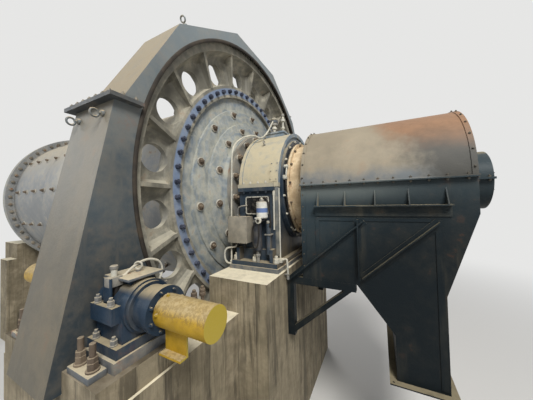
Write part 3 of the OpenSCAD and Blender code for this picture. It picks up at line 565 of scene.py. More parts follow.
cap_paint = dusty_paint("cap_paint", (102, 126, 148), (184, 174, 148), top=1.0, film=0.65, rust=0.08,
                        streaks=0.3, patch=0.25, settle=(-0.02, 0.08), zones=dusty_flange)
finish_node(cap_paint, "discharge_bearing_cap", "feed_bearing_cap")
sole_paint = dusty_paint("sole_paint", (74, 84, 96), (188, 176, 150), top=0.95, film=0.4, rust=0.4,
                         streaks=0.4, rough=0.6, patch=0.3)
finish_node(sole_paint, "discharge_sole_plate", "feed_sole_plate", "pinion_sole_front", "pinion_sole_rear")
pale_steel = dusty_paint("pale_steel", (176, 176, 168), (206, 196, 172), top=0.7, rust=0.12, streaks=0.2,
                         rough=0.4, patch=0.12)
grey_steel = dusty_paint("grey_steel", (104, 106, 108), (180, 170, 148), top=0.7, film=0.35, rust=0.25,
                         streaks=0.2, rough=0.4, patch=0.12)
dark_rubber = dusty_paint("dark_rubber", (22, 22, 24), (120, 108, 90), film=0.15, rust=0.0, patch=0.1)


def copy_to_feed_end(piece, name, body):
    """A mirror image of a finished piece at the drum's other end."""
    bpy.ops.object.select_all(action="DESELECT")
    twin = piece.copy()
    twin.data = piece.data.copy()
    twin.name = twin.data.name = name
    bpy.context.collection.objects.link(twin)
    twin.select_set(True)
    bpy.context.view_layer.objects.active = twin
    beyond = Matrix.Translation((2 * (AXIS.x + DRUM_MIDDLE), 0, 0))
    twin.matrix_world = beyond @ Matrix.Scale(-1, 4, Vector((1, 0, 0)))
    bpy.ops.object.transform_apply()
    bpy.ops.object.mode_set(mode="EDIT")
    bpy.ops.mesh.select_all(action="SELECT")
    bpy.ops.mesh.normals_make_consistent(inside=False)
    bpy.ops.object.mode_set(mode="OBJECT")
    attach(twin, body)


# A seal housing closes the gap between each bearing and its journal, over a spacer plate that
# reaches round the lower half.
seal_housing = turned("discharge_seal_housing", [
    (0.6535, 0.559), (0.664, 0.559), (0.668, 0.563), (0.668, 0.690), (0.664, 0.694), (0.6355, 0.694),
    (0.6355, 0.6145), (0.6535, 0.6145)])
finish_piece(seal_housing, bearing_paint, "plant")
copy_to_feed_end(seal_housing, "feed_seal_housing", "plant")
bpy.ops.object.select_all(action="DESELECT")
bpy.ops.mesh.primitive_circle_add(vertices=4, location=(0, 0, 0))
spacer = bpy.context.object
spacer.name = spacer.data.name = "discharge_seal_spacer"
section = ((0.6055, 0.62), (0.6352, 0.62), (0.6352, 0.70), (0.6055, 0.70))
for vertex, (x, radius) in zip(spacer.data.vertices, section):
    vertex.co = at(x, -radius, -0.0505)
bpy.ops.object.mode_set(mode="EDIT")
bpy.ops.mesh.select_all(action="SELECT")
bpy.ops.mesh.edge_face_add()
bpy.ops.mesh.spin(steps=48, angle=-radians(171), center=AXIS, axis=(1, 0, 0))
bpy.ops.mesh.select_all(action="SELECT")
bpy.ops.mesh.normals_make_consistent(inside=False)
bpy.ops.object.mode_set(mode="OBJECT")
finish_piece(spacer, bearing_paint, "plant")
copy_to_feed_end(spacer, "feed_seal_spacer", "plant")
seal_bolt = model_nut("seal_bolt", (0.024, 0.014), (0.034, 0.003), (0.012, 0.004), sides=12)
fasten_both_ends(seal_bolt, "seal_bolts", ring_of(18, 0.668, 0.672, 11, 13), "plant", pale_steel)

# Bolts through the split flanges clamp each cap to its base, with a nut below.
split_bolt = model_nut("split_bolt", (0.024, 0.016), (0.032, 0.003), (0.012, 0.008), sides=14)
for what, z, facing, washer, nut in (("split_bolts", 0.045, up, grey_steel, pale_steel),
                                     ("split_nuts", -0.0453, down, bearing_paint, bearing_paint)):
    fasten_both_ends(split_bolt, what, [
        (at(x, side * 0.808, z), facing, 17 * k) for side in (-1, 1)
        for k, x in enumerate((0.198, 0.292, 0.396, 0.502))],
        "plant", washer, nut, last=what == "split_nuts")

# Three anchor bolts on each side hold the foot down on its sole plate and pier.
foot_nut = model_nut("foot_nut", (0.064, 0.042), (0.072, 0.006), (0.040, 0.026), sides=16)
fasten_both_ends(foot_nut, "foot_nuts", [
    (at(x, side * 0.848, -0.8687), up, 21 * k + 12) for side in (-1, 1)
    for k, x in enumerate((0.1045, 0.365, 0.6355))],
    "plant", grey_steel, pale_steel)

# The lid on top of each cap is screwed down round its edge.
lid_bolt = model_nut("lid_bolt", (0.020, 0.012), (0.028, 0.003), (0.010, 0.004))
lid_places = [(x, y) for x in (0.218, 0.488) for y in (-0.185, -0.06, 0.06, 0.185)]
lid_places += [(0.353, -0.185), (0.353, 0.185)]
fasten_both_ends(lid_bolt, "lid_bolts",
                 [(at(x, y, 0.8388), up, 30 * k) for k, (x, y) in enumerate(lid_places)],
                 "plant", grey_steel, pale_steel)

# Two small eyes on each cap take the hooks that lift it.
cap_eye = model_nut("cap_eye", (0.020, 0.010), (0.030, 0.003), (0.010, 0.004), sides=12)
bpy.ops.object.mode_set(mode="EDIT")
bpy.ops.mesh.primitive_torus_add(major_radius=0.022, minor_radius=0.006, major_segments=20, minor_segments=8,
                                 location=(0, 0, 0.040), rotation=(pi / 2, 0, 0))
bpy.ops.object.mode_set(mode="OBJECT")
bpy.ops.object.shade_smooth_by_angle(angle=radians(45))
fasten_both_ends(cap_eye, "cap_eyes", [(on_circle(0.372, 0.7865, a), out_at(a), 90) for a in (46, 134)],
                 "plant", grey_steel)


def block(name, low, high, material, bevel=0.003):
    """A box between two corners, in metres from the axis, with its edges broken."""
    bpy.ops.object.select_all(action="DESELECT")
    low, high = Vector(low), Vector(high)
    bpy.ops.mesh.primitive_cube_add(size=1, location=AXIS + (low + high) / 2)
    made = bpy.context.object
    made.name = made.data.name = name
    made.scale = high - low
    bpy.ops.object.transform_apply()
    bpy.ops.object.mode_set(mode="EDIT")
    bpy.ops.mesh.select_all(action="SELECT")
    bpy.ops.mesh.bevel(offset=bevel, segments=2)
    bpy.ops.object.mode_set(mode="OBJECT")
    made.data.materials.append(material)
    return made


def rod(start, end, radius, material, sides=24, edge=0.0015):
    """A round or six-sided bar between two places, in metres from the axis, with its ends chamfered."""
    bpy.ops.object.select_all(action="DESELECT")
    start, end = at(*start), at(*end)
    along = end - start
    bpy.ops.mesh.primitive_cylinder_add(
        vertices=sides, radius=radius, depth=along.length, location=(start + end) / 2,
        rotation=along.to_track_quat("Z", "Y").to_euler())
    made = bpy.context.object
    bpy.ops.object.transform_apply()
    bpy.ops.object.modifier_add(type="BEVEL")
    made.modifiers["Bevel"].width = edge
    made.modifiers["Bevel"].angle_limit = radians(50)
    bpy.ops.object.modifier_apply(modifier="Bevel")
    made.data.materials.append(material)
    return made


def stack(x, y, *bars):
    """Upright rods at one place, each from its low end to its high end."""
    return [rod((x, y, low), (x, y, high), *rest) for low, high, *rest in bars]


def pipe(places, radius, material):
    """A tube that runs through the places, in metres from the axis, and rounds its corners."""
    bpy.ops.object.select_all(action="DESELECT")
    bpy.ops.curve.primitive_nurbs_path_add(location=(0, 0, 0))
    tube = bpy.context.object
    tube.data.splines.clear()
    run = tube.data.splines.new("NURBS")
    run.points.add(len(places) - 1)
    for point, place in zip(run.points, places):
        point.co = (*at(*place), 1)
    run.use_endpoint_u = True
    run.order_u = 3
    run.resolution_u = 7
    tube.data.bevel_depth = radius
    tube.data.bevel_resolution = 3
    tube.data.use_fill_caps = True
    tube.data.materials.append(material)
    bpy.ops.object.convert(target="MESH")
    return bpy.context.object


def one_piece(name, parts, body):
    """Joins parts that have their materials into one named piece."""
    bpy.ops.object.select_all(action="DESELECT")
    for part in parts:
        part.select_set(True)
    bpy.context.view_layer.objects.active = parts[0]
    bpy.ops.object.join()
    bpy.ops.object.shade_smooth_by_angle(angle=radians(38))
    piece = bpy.context.object
    piece.name = piece.data.name = name
    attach(piece, body)


# A rib under the cap's overhang stiffens each base's end. Its pale colour is partly dust and partly a painted
# highlight where light catches the corner.
rib_dust_and_highlight = dusty_paint("rib_dust_and_highlight", (84, 92, 98), (158, 152, 136), top=0.9, film=0.7, streaks=0.8,
                        rough=0.55, patch=0.12)
RIB_X = (0.6052, 0.650)
one_piece("base_end_ribs", [
    block("rib", (x0, y0, -0.800), (x1, y1, -0.0005), rib_dust_and_highlight)
    for y0, y1 in ((-0.787, -0.735), (0.735, 0.787))
    for x0, x1 in (RIB_X, (2 * DRUM_MIDDLE - RIB_X[1], 2 * DRUM_MIDDLE - RIB_X[0]))],
    "plant")

# A rounded cover plate is screwed to the cap's side over its inspection hole.
bpy.ops.object.select_all(action="DESELECT")
bpy.ops.mesh.primitive_grid_add(x_subdivisions=8, y_subdivisions=16, size=1, location=(0, 0, 0))
hatch = bpy.context.object
hatch.name = hatch.data.name = "cap_side_cover"
for vertex in hatch.data.vertices:
    across, along = vertex.co.x + 0.5, vertex.co.y + 0.5
    top_drop = 0.035 * (2 * across - 1) ** 4
    angle = radians(4.2) + (0.285 - top_drop) / 0.793 * along
    vertex.co = on_circle(0.546 + 0.098 * across, 0.7925, degrees=angle * 180 / pi)
bpy.ops.object.mode_set(mode="EDIT")
bpy.ops.mesh.select_all(action="SELECT")
bpy.ops.mesh.solidify(thickness=-0.005)
bpy.ops.mesh.normals_make_consistent(inside=False)
bpy.ops.object.mode_set(mode="OBJECT")
bpy.ops.object.shade_smooth_by_angle(angle=radians(40))
finish_piece(hatch, cap_paint, "plant")
cover_screw = model_nut("cover_screw", (0.013, 0.007), (0.018, 0.002), (0.006, 0.002))
fasten(cover_screw, "cap_cover_screws",
       [(on_circle(x, 0.7978, a), out_at(a), 0) for x in (0.558, 0.632) for a in (6.5, 13.5, 20.5)],
       "plant", cap_paint)

# On the cap's lid stand a breather with a domed head and a thinner gauge, both with hexagon nuts.
one_piece("lid_breather", stack(
    0.330, -0.14, (0.839, 0.858, 0.056, grey_steel), (0.858, 0.960, 0.026, pale_steel),
    (0.890, 0.918, 0.044, pale_steel, 6), (0.950, 0.980, 0.050, grey_steel),
    (0.980, 1.030, 0.056, bearing_paint, 24, 0.008), (1.030, 1.062, 0.046, pale_steel, 24, 0.016)),
    "plant")
one_piece("lid_gauge", stack(
    0.468, -0.14, (0.839, 0.852, 0.036, grey_steel), (0.852, 1.060, 0.014, pale_steel),
    (0.880, 0.906, 0.030, pale_steel, 6), (0.985, 1.018, 0.034, pale_steel),
    (1.060, 1.100, 0.022, grey_steel, 24, 0.006)), "plant")

# A pale conduit climbs from the pier past the bearing and bends over the cap to the breather.
one_piece("breather_conduit", [
    pipe([(0.030, -0.86, -0.9635), (0.034, -0.86, -0.70), (0.045, -0.86, -0.20), (0.058, -0.86, 0.20),
          (0.062, -0.855, 0.46), (0.075, -0.78, 0.60), (0.125, -0.62, 0.705), (0.190, -0.52, 0.735),
          (0.262, -0.47, 0.690), (0.300, -0.40, 0.735), (0.328, -0.28, 0.88), (0.330, -0.185, 1.005)],
         0.011, pale_steel),
    rod((0.030, -0.86, -0.9638), (0.030, -0.86, -0.952), 0.026, grey_steel),
    rod((0.030, -0.86, -0.952), (0.031, -0.86, -0.885), 0.016, pale_steel),
    rod((0.031, -0.86, -0.905), (0.031, -0.86, -0.888), 0.021, pale_steel, sides=6),
], "plant")

# Two drain tubes run down the base's corner, and the outer one ends in an elbow at its foot.
one_piece("drain_tubes", [
    pipe([(0.598, -0.7985, -0.047), (0.598, -0.7985, -0.30), (0.596, -0.7985, -0.50)], 0.011, pale_steel),
    *stack(0.598, -0.7985, (-0.100, -0.047, 0.015, pale_steel)),
    pipe([(0.664, -0.795, -0.020), (0.664, -0.795, -0.40), (0.664, -0.797, -0.80), (0.664, -0.797, -0.845)],
         0.009, pale_steel),
    block("lower_fitting", (0.640, -0.820, -0.868), (0.690, -0.775, -0.820), pale_steel),
    pipe([(0.685, -0.797, -0.835), (0.735, -0.800, -0.815), (0.752, -0.803, -0.850), (0.752, -0.803, -1.02)],
         0.011, pale_steel),
    *stack(0.752, -0.803, (-1.045, -1.005, 0.016, grey_steel)),
    rod((0.687, -0.797, -0.8345), (0.706, -0.798, -0.8275), 0.017, pale_steel, sides=6),
    block("pipe_clip", (0.7142, -0.818, -0.998), (0.768, -0.788, -0.985), grey_steel, bevel=0.002),
], "plant")

# A black grease hose runs down over the seal's bolts from two fittings beside the split.
HOSE_RADIUS = 0.668
one_piece("seal_grease_hose", [
    pipe([on_circle(0.701, HOSE_RADIUS, a) - AXIS for a in (9, 2, -8, -18, -28, -38, -48, -54)],
         0.012, dark_rubber),
    *(rod(on_circle(0.6675, HOSE_RADIUS, a) - AXIS, on_circle(0.716, HOSE_RADIUS, a) - AXIS, radius,
          pale_steel, sides) for a, radius, sides in ((9, 0.020, 6), (22, 0.022, 20), (-54, 0.018, 6))),
    pipe([on_circle(0.700, HOSE_RADIUS, a) - AXIS for a in (9, 15, 22)], 0.010, pale_steel),
], "plant")

# PIERS. Concrete poured between upright boards, so the sides show their streaks, stains
# and pores, with a pale layer of dust on top.
BOARD_WIDTH = 0.21
board_concrete, surface, coords = start_material("board_concrete")
in_boards = times(sum_up("ADD", place_along(coords, "X"), place_along(coords, "Y")), 1 / BOARD_WIDTH)
board = sum_up("FLOOR", in_boards)
within = sum_up("SUBTRACT", in_boards, board)
tone = add_node(board_concrete.node_tree, "TexWhiteNoise", {"W": board}, noise_dimensions="1D")
to_edge = sum_up("MINIMUM", within, all_but(within, 1))
faces_up = faces_along(coords, "Z")
joint = times(ramp(to_edge, 0.0, 0.05, 1, 0), ramp(faces_up, 0.2, 0.5, 1, 0))
mottle = patches(coords, 0.09, 9, rough=0.66)
grain = patches(coords, 0.008, 3, rough=0.7)
runs = times(ramp(patches(coords, 0.13, 8, stretch=(1, 1, 0.08), rough=0.7), 0.49, 0.58),
             ramp(patches(coords, 0.7, 4), 0.38, 0.56))
scratches = ramp(patches(coords, 0.03, stretch=(1, 1, 0.05), rough=0.7), 0.46, 0.62)
stains = patches(coords, 0.40, 8, rough=0.62)
wood_grain = patches(coords, 0.02, 4, stretch=(1, 1, 0.06))
colour = blend_colours(tone.outputs["Value"], (118, 108, 88), (136, 126, 104))
for share, stain in (
        (ramp(mottle, 0.35, 0.7, 0, 0.5), (162, 150, 126)), (ramp(stains, 0.32, 0.50, 0.5, 0), (92, 84, 66)),
        (ramp(stains, 0.52, 0.68, 0, 0.6), (172, 160, 136)), (times(scratches, 0.3), (84, 76, 60)),
        (times(runs, 0.7), (66, 60, 48)), (times(joint, 0.2), (74, 68, 60))):
    colour = blend_colours(share, colour, stain)
lying = times(ramp(faces_up, 0.4, 0.9), ramp(mottle, 0.2, 0.6, 0.65, 1))
# On the tops of the piers under the pinion bearings a darker, blotched brown takes the place of the pale dust.
clean = times(ramp(place_along(coords, "Y"), AXIS.y - 2.0, AXIS.y - 1.9, 1, 0),
              ramp(place_along(coords, "Z"), AXIS.z - 1.30, AXIS.z - 1.20))
browner_tops = blend_colours(ramp(stains, 0.40, 0.62), (84, 75, 60), (136, 126, 108))
colour = blend_colours(lying, colour, blend_colours(clean, (232, 222, 196), browner_tops))
feed(surface, {"Base Color": colour, "Roughness": 0.92})
raise_grain(surface, (all_but(joint, 1), 0.004), (wood_grain, 0.002), (grain, 0.002))
finish_node(board_concrete, "discharge_pier", "feed_pier", "pinion_pier_front", "pinion_pier_rear",
            "guard_plinth")

# DISCHARGE HOOD. A rolled half cylinder of thin plate over the screen, bolted to the chute along
# its seam: brown-grey dust on blue paint that still shows along its lower edge, with rust
# creeping in from the far end.


def hood_tones(coords, shade):
    """Beyond a wandering line the far end is bare: rust above, and below it a dark grey that is partly bare
    blue-grey paint and partly painted shade.
    """
    wander, lean = patches(coords, 0.3, 7, rough=0.6), 0.56
    height = sum_up("ADD", place_along(coords, "Z"), ramp(wander, 0.2, 0.8, -0.06, 0.06))
    shade = blend_colours(ramp(height, AXIS.z + 0.04, AXIS.z + 0.20, 0.8, 0), shade, (86, 100, 112))
    edge = sum_up("ADD", place_along(coords, "X"), ramp(wander, 0.2, 0.8, -0.10, 0.10))
    line = AXIS.x + 2.08 + lean * AXIS.z
    bare = ramp(sum_up("ADD", edge, times(height, lean)), line - 0.16, line + 0.16)
    rust_tone = blend_colours(patches(coords, 0.05, rough=0.65), (112, 86, 66), (148, 114, 88))
    # Under the rust the far end is kept dark grey, partly bare paint and partly painted shade.
    far_rust_and_shade = blend_colours(ramp(height, AXIS.z + 0.20, AXIS.z + 0.56), (62, 62, 59), rust_tone)
    return blend_colours(bare, shade, far_rust_and_shade), all_but(bare, 0.92)


hood_paint = dusty_paint("hood_paint", (132, 124, 108), (164, 152, 132), top=0.45, film=0.45, streaks=0.3,
                         rough=0.6, patch=1.1, settle=(0.3, 1.0), zones=hood_tones)
finish_node(hood_paint, "hood_shell", "hood_inlet_plate", "hood_end_plate")

# Bolts close the hood's seam, and smaller ones hold its bands and the plates at its ends.
dark_bolt = dusty_paint("dark_bolt", (60, 58, 54), (150, 140, 118), film=0.2, rust=0.3)
seam_bolt = model_nut("seam_bolt", (0.020, 0.011), (0.026, 0.003), (0.010, 0.005))
SEAM_X = (0.95, 1.035, 1.162, 1.293, 1.427, 1.558, 1.681, 1.808, 1.945, 2.081, 2.210, 2.347)
fasten(seam_bolt, "hood_seam_bolts",
       [(at(x, side * 0.7605, z), facing, 25 * k) for side in (-1, 1) for k, x in enumerate(SEAM_X)
        for z, facing in ((0.0098, up), (-0.0105, down))],
       "plant", dark_bolt, last=False)
band_bolt = model_nut("band_bolt", (0.015, 0.009), (0.021, 0.002), (0.008, 0.003), sides=8)
fasten(band_bolt, "hood_band_bolts",
       [(on_circle(x, 0.7458, a), out_at(a), 0) for x in (0.926, 2.397) for a in range(6, 180, 12)],
       "plant", dark_bolt, last=False)
fasten(band_bolt, "chute_edge_bolts",
       [(at(0.928, side * 0.738, -0.11 - 0.13 * k), Vector((0, side, 0)), 0) for side in (-1, 1)
        for k in range(7)], "plant", dark_bolt)

# END COVER. A round box of welded plate on the hood's far end, split like the hood and bolted
# on, with a round lid of its own.
cover_angles = (*range(12, 180, 26), -14, -40, -140, -166)
fasten(seam_bolt, "end_cover_bolts",
       [(on_circle(2.4273, 0.315, a), Vector((1, 0, 0)), 0) for a in cover_angles]
       + [(at(x, side * 0.3225, z), facing, 0) for side in (-1, 1) for x in (2.47, 2.54, 2.62)
          for z, facing in ((0.0098, up), (-0.0102, down))]
       + ring_of(8, 2.6731, 0.215, 15, 0),
       "plant", dark_bolt)

# CHUTE. Welded plate in dark slate paint, with a shelf, gussets, braces and a frame on each
# side that carries it. Dust lies on each ledge and edge.


def lighter_above(coords, shade):
    """The chute is coloured palest near the bearing and under the seam, and almost black at its foot."""
    x, z = place_along(coords, "X"), place_along(coords, "Z")
    depth = sum_up("SUBTRACT", z, times(ramp(x, AXIS.x + 0.9, AXIS.x + 1.9), 0.6))
    shade = blend_colours(ramp(depth, AXIS.z - 1.3, AXIS.z + 0.1), (17, 25, 30), (50, 64, 72))
    under_seam = times(ramp(z, AXIS.z - 0.24, AXIS.z - 0.08, 0, 0.75),
                       ramp(x, AXIS.x + 1.3, AXIS.x + 2.2, 1, 0.1))
    return blend_colours(under_seam, shade, (98, 105, 104)), 1.0


SLATE = (20, 32, 37)
chute_paint = dusty_paint("chute_paint", SLATE, (146, 136, 112), top=0.9, film=0.04, rust=0.06, streaks=0.08,
                          rough=0.42, patch=0.7, settle=(0.8, 1.0), gloss=0.1, zones=lighter_above)
finish_node(chute_paint, "chute_body", "outlet_flange", "end_cover")


def pale_gussets(coords, shade):
    """The gussets' faces towards +X are paler."""
    shade, dusty = lighter_above(coords, shade)
    gusset = ramp(faces_along(coords, "X"), 0.6, 0.95, 0, 0.8)
    return blend_colours(gusset, shade, (128, 122, 106)), dusty


shelf_paint = dusty_paint("shelf_paint", SLATE, (164, 152, 124), top=0.95, film=0.10, rust=0.06, streaks=0.15,
                          patch=0.4, settle=(0.5, 0.9), gloss=0.1, zones=pale_gussets)
finish_node(shelf_paint, "chute_shelves")
brace_paint = dusty_paint("brace_paint", SLATE, (120, 114, 96), top=0.75, film=0.06, rust=0.06, streaks=0.12,
                          rough=0.45, patch=0.5, settle=(0.35, 0.8), gloss=0.1, zones=lighter_above)
finish_node(brace_paint, "chute_braces", "support_frame_near", "support_frame_far")

# PINION BEARINGS. Cast housings in dark blue paint, split across the middle and clamped by large
# nuts, each bolted down on its own pier, with a round guard of yellow plate on the end.
pinion_paint = dusty_paint("pinion_paint", (22, 44, 64), (158, 146, 120), top=1.0, film=0.06, rust=0.08,
                           streaks=0.15, rough=0.42, patch=0.25, settle=(0.6, 0.98), gloss=0.2)
finish_node(pinion_paint, "pinion_bearing_front", "pinion_bearing_rear")


def grimy_top(coords, shade):
    """Brown grime speckles the guard's upper side, and its flat end is clean and olive in the shade."""
    speckle = ramp(patches(coords, 0.022, 7, rough=0.75), 0.44, 0.56)
    grime = times(speckle, ramp(faces_along(coords, "Z"), -0.15, 0.5, 0, 0.75))
    shade = blend_colours(grime, shade, (104, 86, 52))
    end = ramp(faces_along(coords, "X"), 0.8, 0.95)
    return (blend_colours(end, shade, (168, 148, 54)),
            all_but(sum_up("MAXIMUM", end, times(speckle, 0.5)), 1))


yellow_paint = dusty_paint("yellow_paint", (168, 134, 24), (172, 156, 122), top=0.9, film=0.08, rust=0.2,
                           streaks=0.2, rough=0.42, patch=0.12, settle=(0.2, 0.75), zones=grimy_top)
finish_node(yellow_paint, "shaft_guard_front", "shaft_guard_rear")
PINION_Y, PINION_Z, GUARD_MIDDLE = -2.167, -0.836, -0.2685


def both_bearings(spots):
    """The front bearing's places and their mirror images behind the gear guard."""
    return spots + mirrored(spots, GUARD_MIDDLE)


def round_pinion(x, radius, degrees):
    """A point round the pinion's axis and the direction away from that axis."""
    y, z = cos(radians(degrees)), sin(radians(degrees))
    return at(x, PINION_Y + radius * y, PINION_Z + radius * z), Vector((0, y, z))


# Large nuts clamp the split housing and hold its foot down, and smaller ones its end ring.
pinion_nut = model_nut("pinion_nut", (0.036, 0.026), (0.044, 0.006), (0.022, 0.016), sides=14)
fasten(pinion_nut, "pinion_housing_nuts", both_bearings(
    [(at(x, PINION_Y + side * y, PINION_Z + z), up, 40 * x)
     for y, z, places in ((0.1885, 0.05, (0.085, 0.225)), (0.1875, -0.1757, (0.06, 0.25)))
     for side in (-1, 1) for x in places]), "plant", grey_steel)
ring_screw = model_nut("ring_screw", (0.018, 0.011), (0.024, 0.002), (0.009, 0.004))
fasten(ring_screw, "pinion_ring_screws", both_bearings(
    [(round_pinion(0.4805, 0.122, a)[0], Vector((1, 0, 0)), a) for a in range(20, 380, 45)]),
    "plant", pinion_paint, last=False)
fasten(ring_screw, "shaft_guard_screws", both_bearings(
    [(*round_pinion(0.515, 0.0975, a), 0) for a in (30, 100, 170)]), "plant", yellow_paint)

# Tall anchor bolts stand in the pier beside the sole plate, with two nuts on each.
anchor = model_nut("pinion_anchor", (0.050, 0.036), (0.070, 0.010), (0.034, 0.100), sides=18)
bpy.ops.object.mode_set(mode="EDIT")
bpy.ops.mesh.primitive_cylinder_add(vertices=6, radius=0.028, depth=0.028, location=(0, 0, 0.066))
bpy.ops.mesh.bevel(offset=0.002, segments=1)
bpy.ops.object.mode_set(mode="OBJECT")
fasten(anchor, "pinion_anchor_bolts",
       both_bearings([(at(x, -2.452, -1.1003), up, 50 * x) for x in (0.095, 0.225)]),
       "plant", brown_bolt)
BEHIND = 2 * GUARD_MIDDLE
for end, low, high in (("front", 0.045, 0.275), ("rear", BEHIND - 0.275, BEHIND - 0.045)):
    seat = block("seat", (low, -2.500, -1.1385), (high, -2.405, -1.1000), sole_paint, bevel=0.004)
    one_piece(f"pinion_anchor_seat_{end}", [seat], "plant")

# A dusty plate covers the front bearing's grease hole, with an eye bolt for lifting the housing.
slab_top, eye_x, eye_y = PINION_Z + 0.191, 0.170, PINION_Y + 0.02
one_piece("pinion_cover_plate", [
    block("plate", (0.030, PINION_Y - 0.125, slab_top - 0.0118), (0.295, PINION_Y + 0.125, slab_top + 0.006),
          sole_paint, bevel=0.004),
    *stack(eye_x, eye_y, (slab_top + 0.006, slab_top + 0.020, 0.017, grey_steel)),
], "plant")
bpy.ops.object.select_all(action="DESELECT")
bpy.ops.mesh.primitive_torus_add(
    major_radius=0.024, minor_radius=0.007, major_segments=28, minor_segments=10,
    location=at(eye_x, eye_y, slab_top + 0.046), rotation=(pi / 2, 0, radians(40)))
eye_bolt = bpy.context.object
eye_bolt.name = eye_bolt.data.name = "pinion_eye_bolt"
bpy.ops.object.transform_apply()
bpy.ops.object.shade_smooth()
finish_piece(eye_bolt, pale_steel, "plant")

# Two tall anchor bolts stand in the main pier's ledge close to the guard, each with a nut low
# down and two above.
one_piece("ledge_anchor_bolts", [bar for y in (-1.561, -1.449) for bar in stack(
    0.100, y, (-1.2898, -1.280, 0.042, grey_steel, 20, 0.003), (-1.280, -1.245, 0.034, brown_bolt, 6, 0.003),
    (-1.245, -0.990, 0.017, brown_bolt, 16, 0.003), (-1.085, -1.048, 0.033, brown_bolt, 6, 0.003),
    (-1.048, -1.014, 0.030, brown_bolt, 6, 0.003))],
    "plant")

# A small grease distributor feeds the bearing through a looped pipe.
one_piece("grease_distributor", [
    block("body", (0.130, -2.345, -0.690), (0.190, -2.262, -0.630), grey_steel),
    block("bracket", (0.120, -2.345, -0.790), (0.200, -2.332, -0.630), pinion_paint),
    block("bracket_foot", (0.120, -2.345, -0.7858), (0.200, -2.300, -0.774), pinion_paint),
    *stack(0.160, -2.300, (-0.630, -0.585, 0.018, pale_steel),
           (-0.585, -0.560, 0.024, grey_steel, 24, 0.004)),
    *stack(0.160, -2.290, (-0.770, -0.690, 0.021, dark_rubber)),
    rod((0.160, -2.262, -0.650), (0.160, -2.225, -0.640), 0.012, pale_steel, sides=6),
    pipe([(0.158, -2.232, -0.642), (0.155, -2.180, -0.600), (0.150, -2.060, -0.570), (0.150, -1.955, -0.615),
          (0.150, -1.935, -0.70), (0.150, -1.975, -0.765), (0.150, -1.978, -0.784)], 0.009, pale_steel),
    *stack(0.150, -1.978, (-0.7857, -0.745, 0.015, brown_bolt)),
], "plant")

# JUNCTION BOX. A box of folded sheet steel on the bearing's side, in dusty grey paint. Its lid is
# held by four screws, and its cables enter through two glands beneath.
box_paint = dusty_paint("box_paint", (136, 132, 122), (178, 166, 144), top=0.9, film=0.35, rust=0.05,
                        streaks=0.25, rough=0.45, patch=0.15)
finish_node(box_paint, "junction_box")
lid = block("lid", (0.049, -0.9465, -0.654), (0.313, -0.9372, -0.341), box_paint, bevel=0.0025)
glands = [part for x in (0.115, 0.180) for part in stack(
    x, -0.865, (-0.672, -0.6502, 0.018, dark_rubber, 6), (-0.690, -0.672, 0.012, dark_rubber))]
one_piece("junction_box_lid", [lid] + glands, "plant")
box_screw = model_nut("box_screw", (0.010, 0.005), (0.015, 0.0015), (0.005, 0.001))
to_front = Vector((0, -1, 0))
fasten(box_screw, "junction_box_screws",
       [(at(x, -0.9465, z), to_front, 20) for x in (0.062, 0.300) for z in (-0.641, -0.354)],
       "plant", grey_steel, last=False)

# One hose leaves the box below and loops down to the conduit, a shorter one enters it on top.
one_piece("junction_box_hoses", [
    pipe([(0.115, -0.865, -0.688), (0.112, -0.868, -0.715), (0.060, -0.890, -0.718), (-0.005, -0.915, -0.730),
          (-0.030, -0.925, -0.800), (-0.018, -0.915, -0.890), (0.012, -0.885, -0.925), (0.030, -0.862, -0.925)],
         0.012, pale_steel),
    pipe([(0.140, -0.865, -0.3455), (0.140, -0.866, -0.29), (0.150, -0.866, -0.235), (0.215, -0.850, -0.215),
          (0.250, -0.822, -0.215)], 0.008, grey_steel),
    *stack(0.140, -0.865, (-0.3448, -0.325, 0.014, grey_steel, 6)),
], "plant")

# INSPECTION WINDOW. Dark glass in a black frame on the bearing base, under a light metal rim with
# round corners that is held by screws.
black_frame = dusty_paint("black_frame", (26, 28, 32), (140, 130, 112), top=0.8, film=0.12, rust=0.0,
                          rough=0.35, patch=0.1)
finish_node(black_frame, "inspection_window")
bpy.ops.object.select_all(action="DESELECT")
bpy.ops.mesh.primitive_plane_add(size=1, location=(0, 0, 0))
rim = bpy.context.object
corners = ((0.231, -0.322), (0.545, -0.322), (0.231, -0.108), (0.545, -0.108))
for vertex, (x, z) in zip(rim.data.vertices, corners):
    vertex.co = at(x, -0.8173, z)
bpy.ops.object.mode_set(mode="EDIT")
bpy.ops.mesh.select_all(action="SELECT")
bpy.ops.mesh.bevel(offset=0.028, segments=6, affect="VERTICES")
bpy.ops.mesh.select_all(action="SELECT")
bpy.ops.mesh.inset(thickness=0.012)
bpy.ops.mesh.delete(type="FACE")
bpy.ops.mesh.select_all(action="SELECT")
bpy.ops.mesh.extrude_region_move(TRANSFORM_OT_translate={"value": (0, -0.008, 0)})
bpy.ops.mesh.select_all(action="SELECT")
bpy.ops.mesh.normals_make_consistent(inside=False)
bpy.ops.object.mode_set(mode="OBJECT")
rim.data.materials.append(pale_steel)
dark_glass, surface, coords = start_material("dark_glass")
smears = patches(coords, 0.06, 5)
feed(surface, {"Base Color": blend_colours(ramp(smears, 0.4, 0.75, 0, 0.35), (18, 20, 24), (110, 104, 92)),
               "Roughness": ramp(smears, 0.3, 0.7, 0.08, 0.4)})
pane = block("pane", (0.242, -0.8198, -0.311), (0.534, -0.8172, -0.119), dark_glass, bevel=0.0008)
one_piece("window_rim", [rim, pane], "plant")
rim_places = [(0.2415, -0.215), (0.5345, -0.215)] + [(x, z) for x in (0.32, 0.456) for z in (-0.316, -0.114)]
fasten(box_screw, "window_screws", [(at(x, -0.8253, z), to_front, 15) for x, z in rim_places],
       "plant", grey_steel)

# OIL FILTER. A white steel can with a blue band, screwed to a small block on the bearing base,
# with a dark bowl under it and hoses to its fittings.


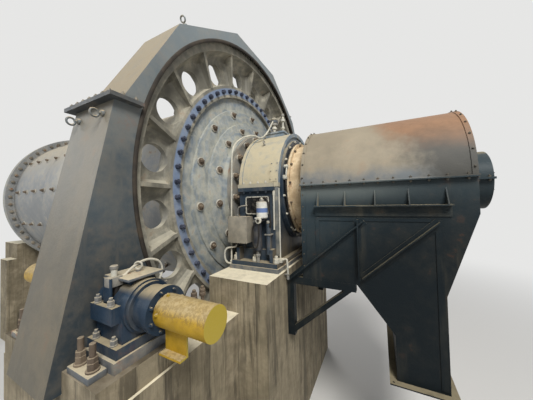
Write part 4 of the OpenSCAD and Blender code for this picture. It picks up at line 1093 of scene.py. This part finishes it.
def filter_bands(coords, shade):
    height = place_along(coords, "Z")
    stripe = times(ramp(height, AXIS.z - 0.297, AXIS.z - 0.295),
                   ramp(height, AXIS.z - 0.247, AXIS.z - 0.245, 1, 0))
    shade = blend_colours(stripe, shade, (70, 104, 160))
    below = ramp(height, AXIS.z - 0.366, AXIS.z - 0.363, 1, 0)
    return blend_colours(below, shade, (34, 42, 54)), 1.0


filter_body = dusty_paint("filter_body", (206, 206, 200), (176, 164, 142), top=0.8, film=0.15, rust=0.0,
                          streaks=0.15, rough=0.3, patch=0.1, zones=filter_bands)
finish_node(filter_body, "oil_filter")
CAN, BOWL = (0.484, -0.878), (0.418, -0.877)
one_piece("oil_filter_can", stack(
    *CAN, (-0.362, -0.172, 0.0665, filter_body, 40, 0.010), (-0.176, -0.166, 0.058, grey_steel, 40)),
    "plant")
one_piece("oil_filter_fittings", [
    *stack(*CAN, (-0.170, -0.145, 0.030, grey_steel, 6), (-0.145, -0.125, 0.018, pale_steel)),
    rod((0.476, -0.9465, -0.385), (0.476, -0.968, -0.385), 0.036, pale_steel, edge=0.004),
    rod((0.476, -0.967, -0.385), (0.476, -0.974, -0.385), 0.017, dark_rubber),
    *stack(*BOWL, (-0.410, -0.3905, 0.056, grey_steel)),
    pipe([(0.492, -0.880, -0.135), (0.530, -0.885, -0.115), (0.566, -0.885, -0.180), (0.580, -0.880, -0.300),
          (0.590, -0.870, -0.440), (0.560, -0.850, -0.470), (0.548, -0.838, -0.425)], 0.010, dark_rubber),
    pipe([(0.440, -0.940, -0.388), (0.400, -0.955, -0.440), (0.385, -0.955, -0.560), (0.410, -0.955, -0.690),
          (0.455, -0.955, -0.690), (0.480, -0.955, -0.560), (0.478, -0.950, -0.440), (0.476, -0.945, -0.395)],
         0.007, dark_rubber),
    *stack(0.540, -0.835, (-0.780, -0.420, 0.030, bearing_paint), (-0.420, -0.395, 0.022, pale_steel, 6)),
    block("strap", (0.500, -0.8715, -0.560), (0.580, -0.7872, -0.545), grey_steel),
    *stack(*BOWL, (-0.8687, -0.7402, 0.020, grey_steel), (-0.800, -0.775, 0.032, grey_steel, 6)),
], "plant")

bpy.context.scene.view_settings.view_transform = "Standard"
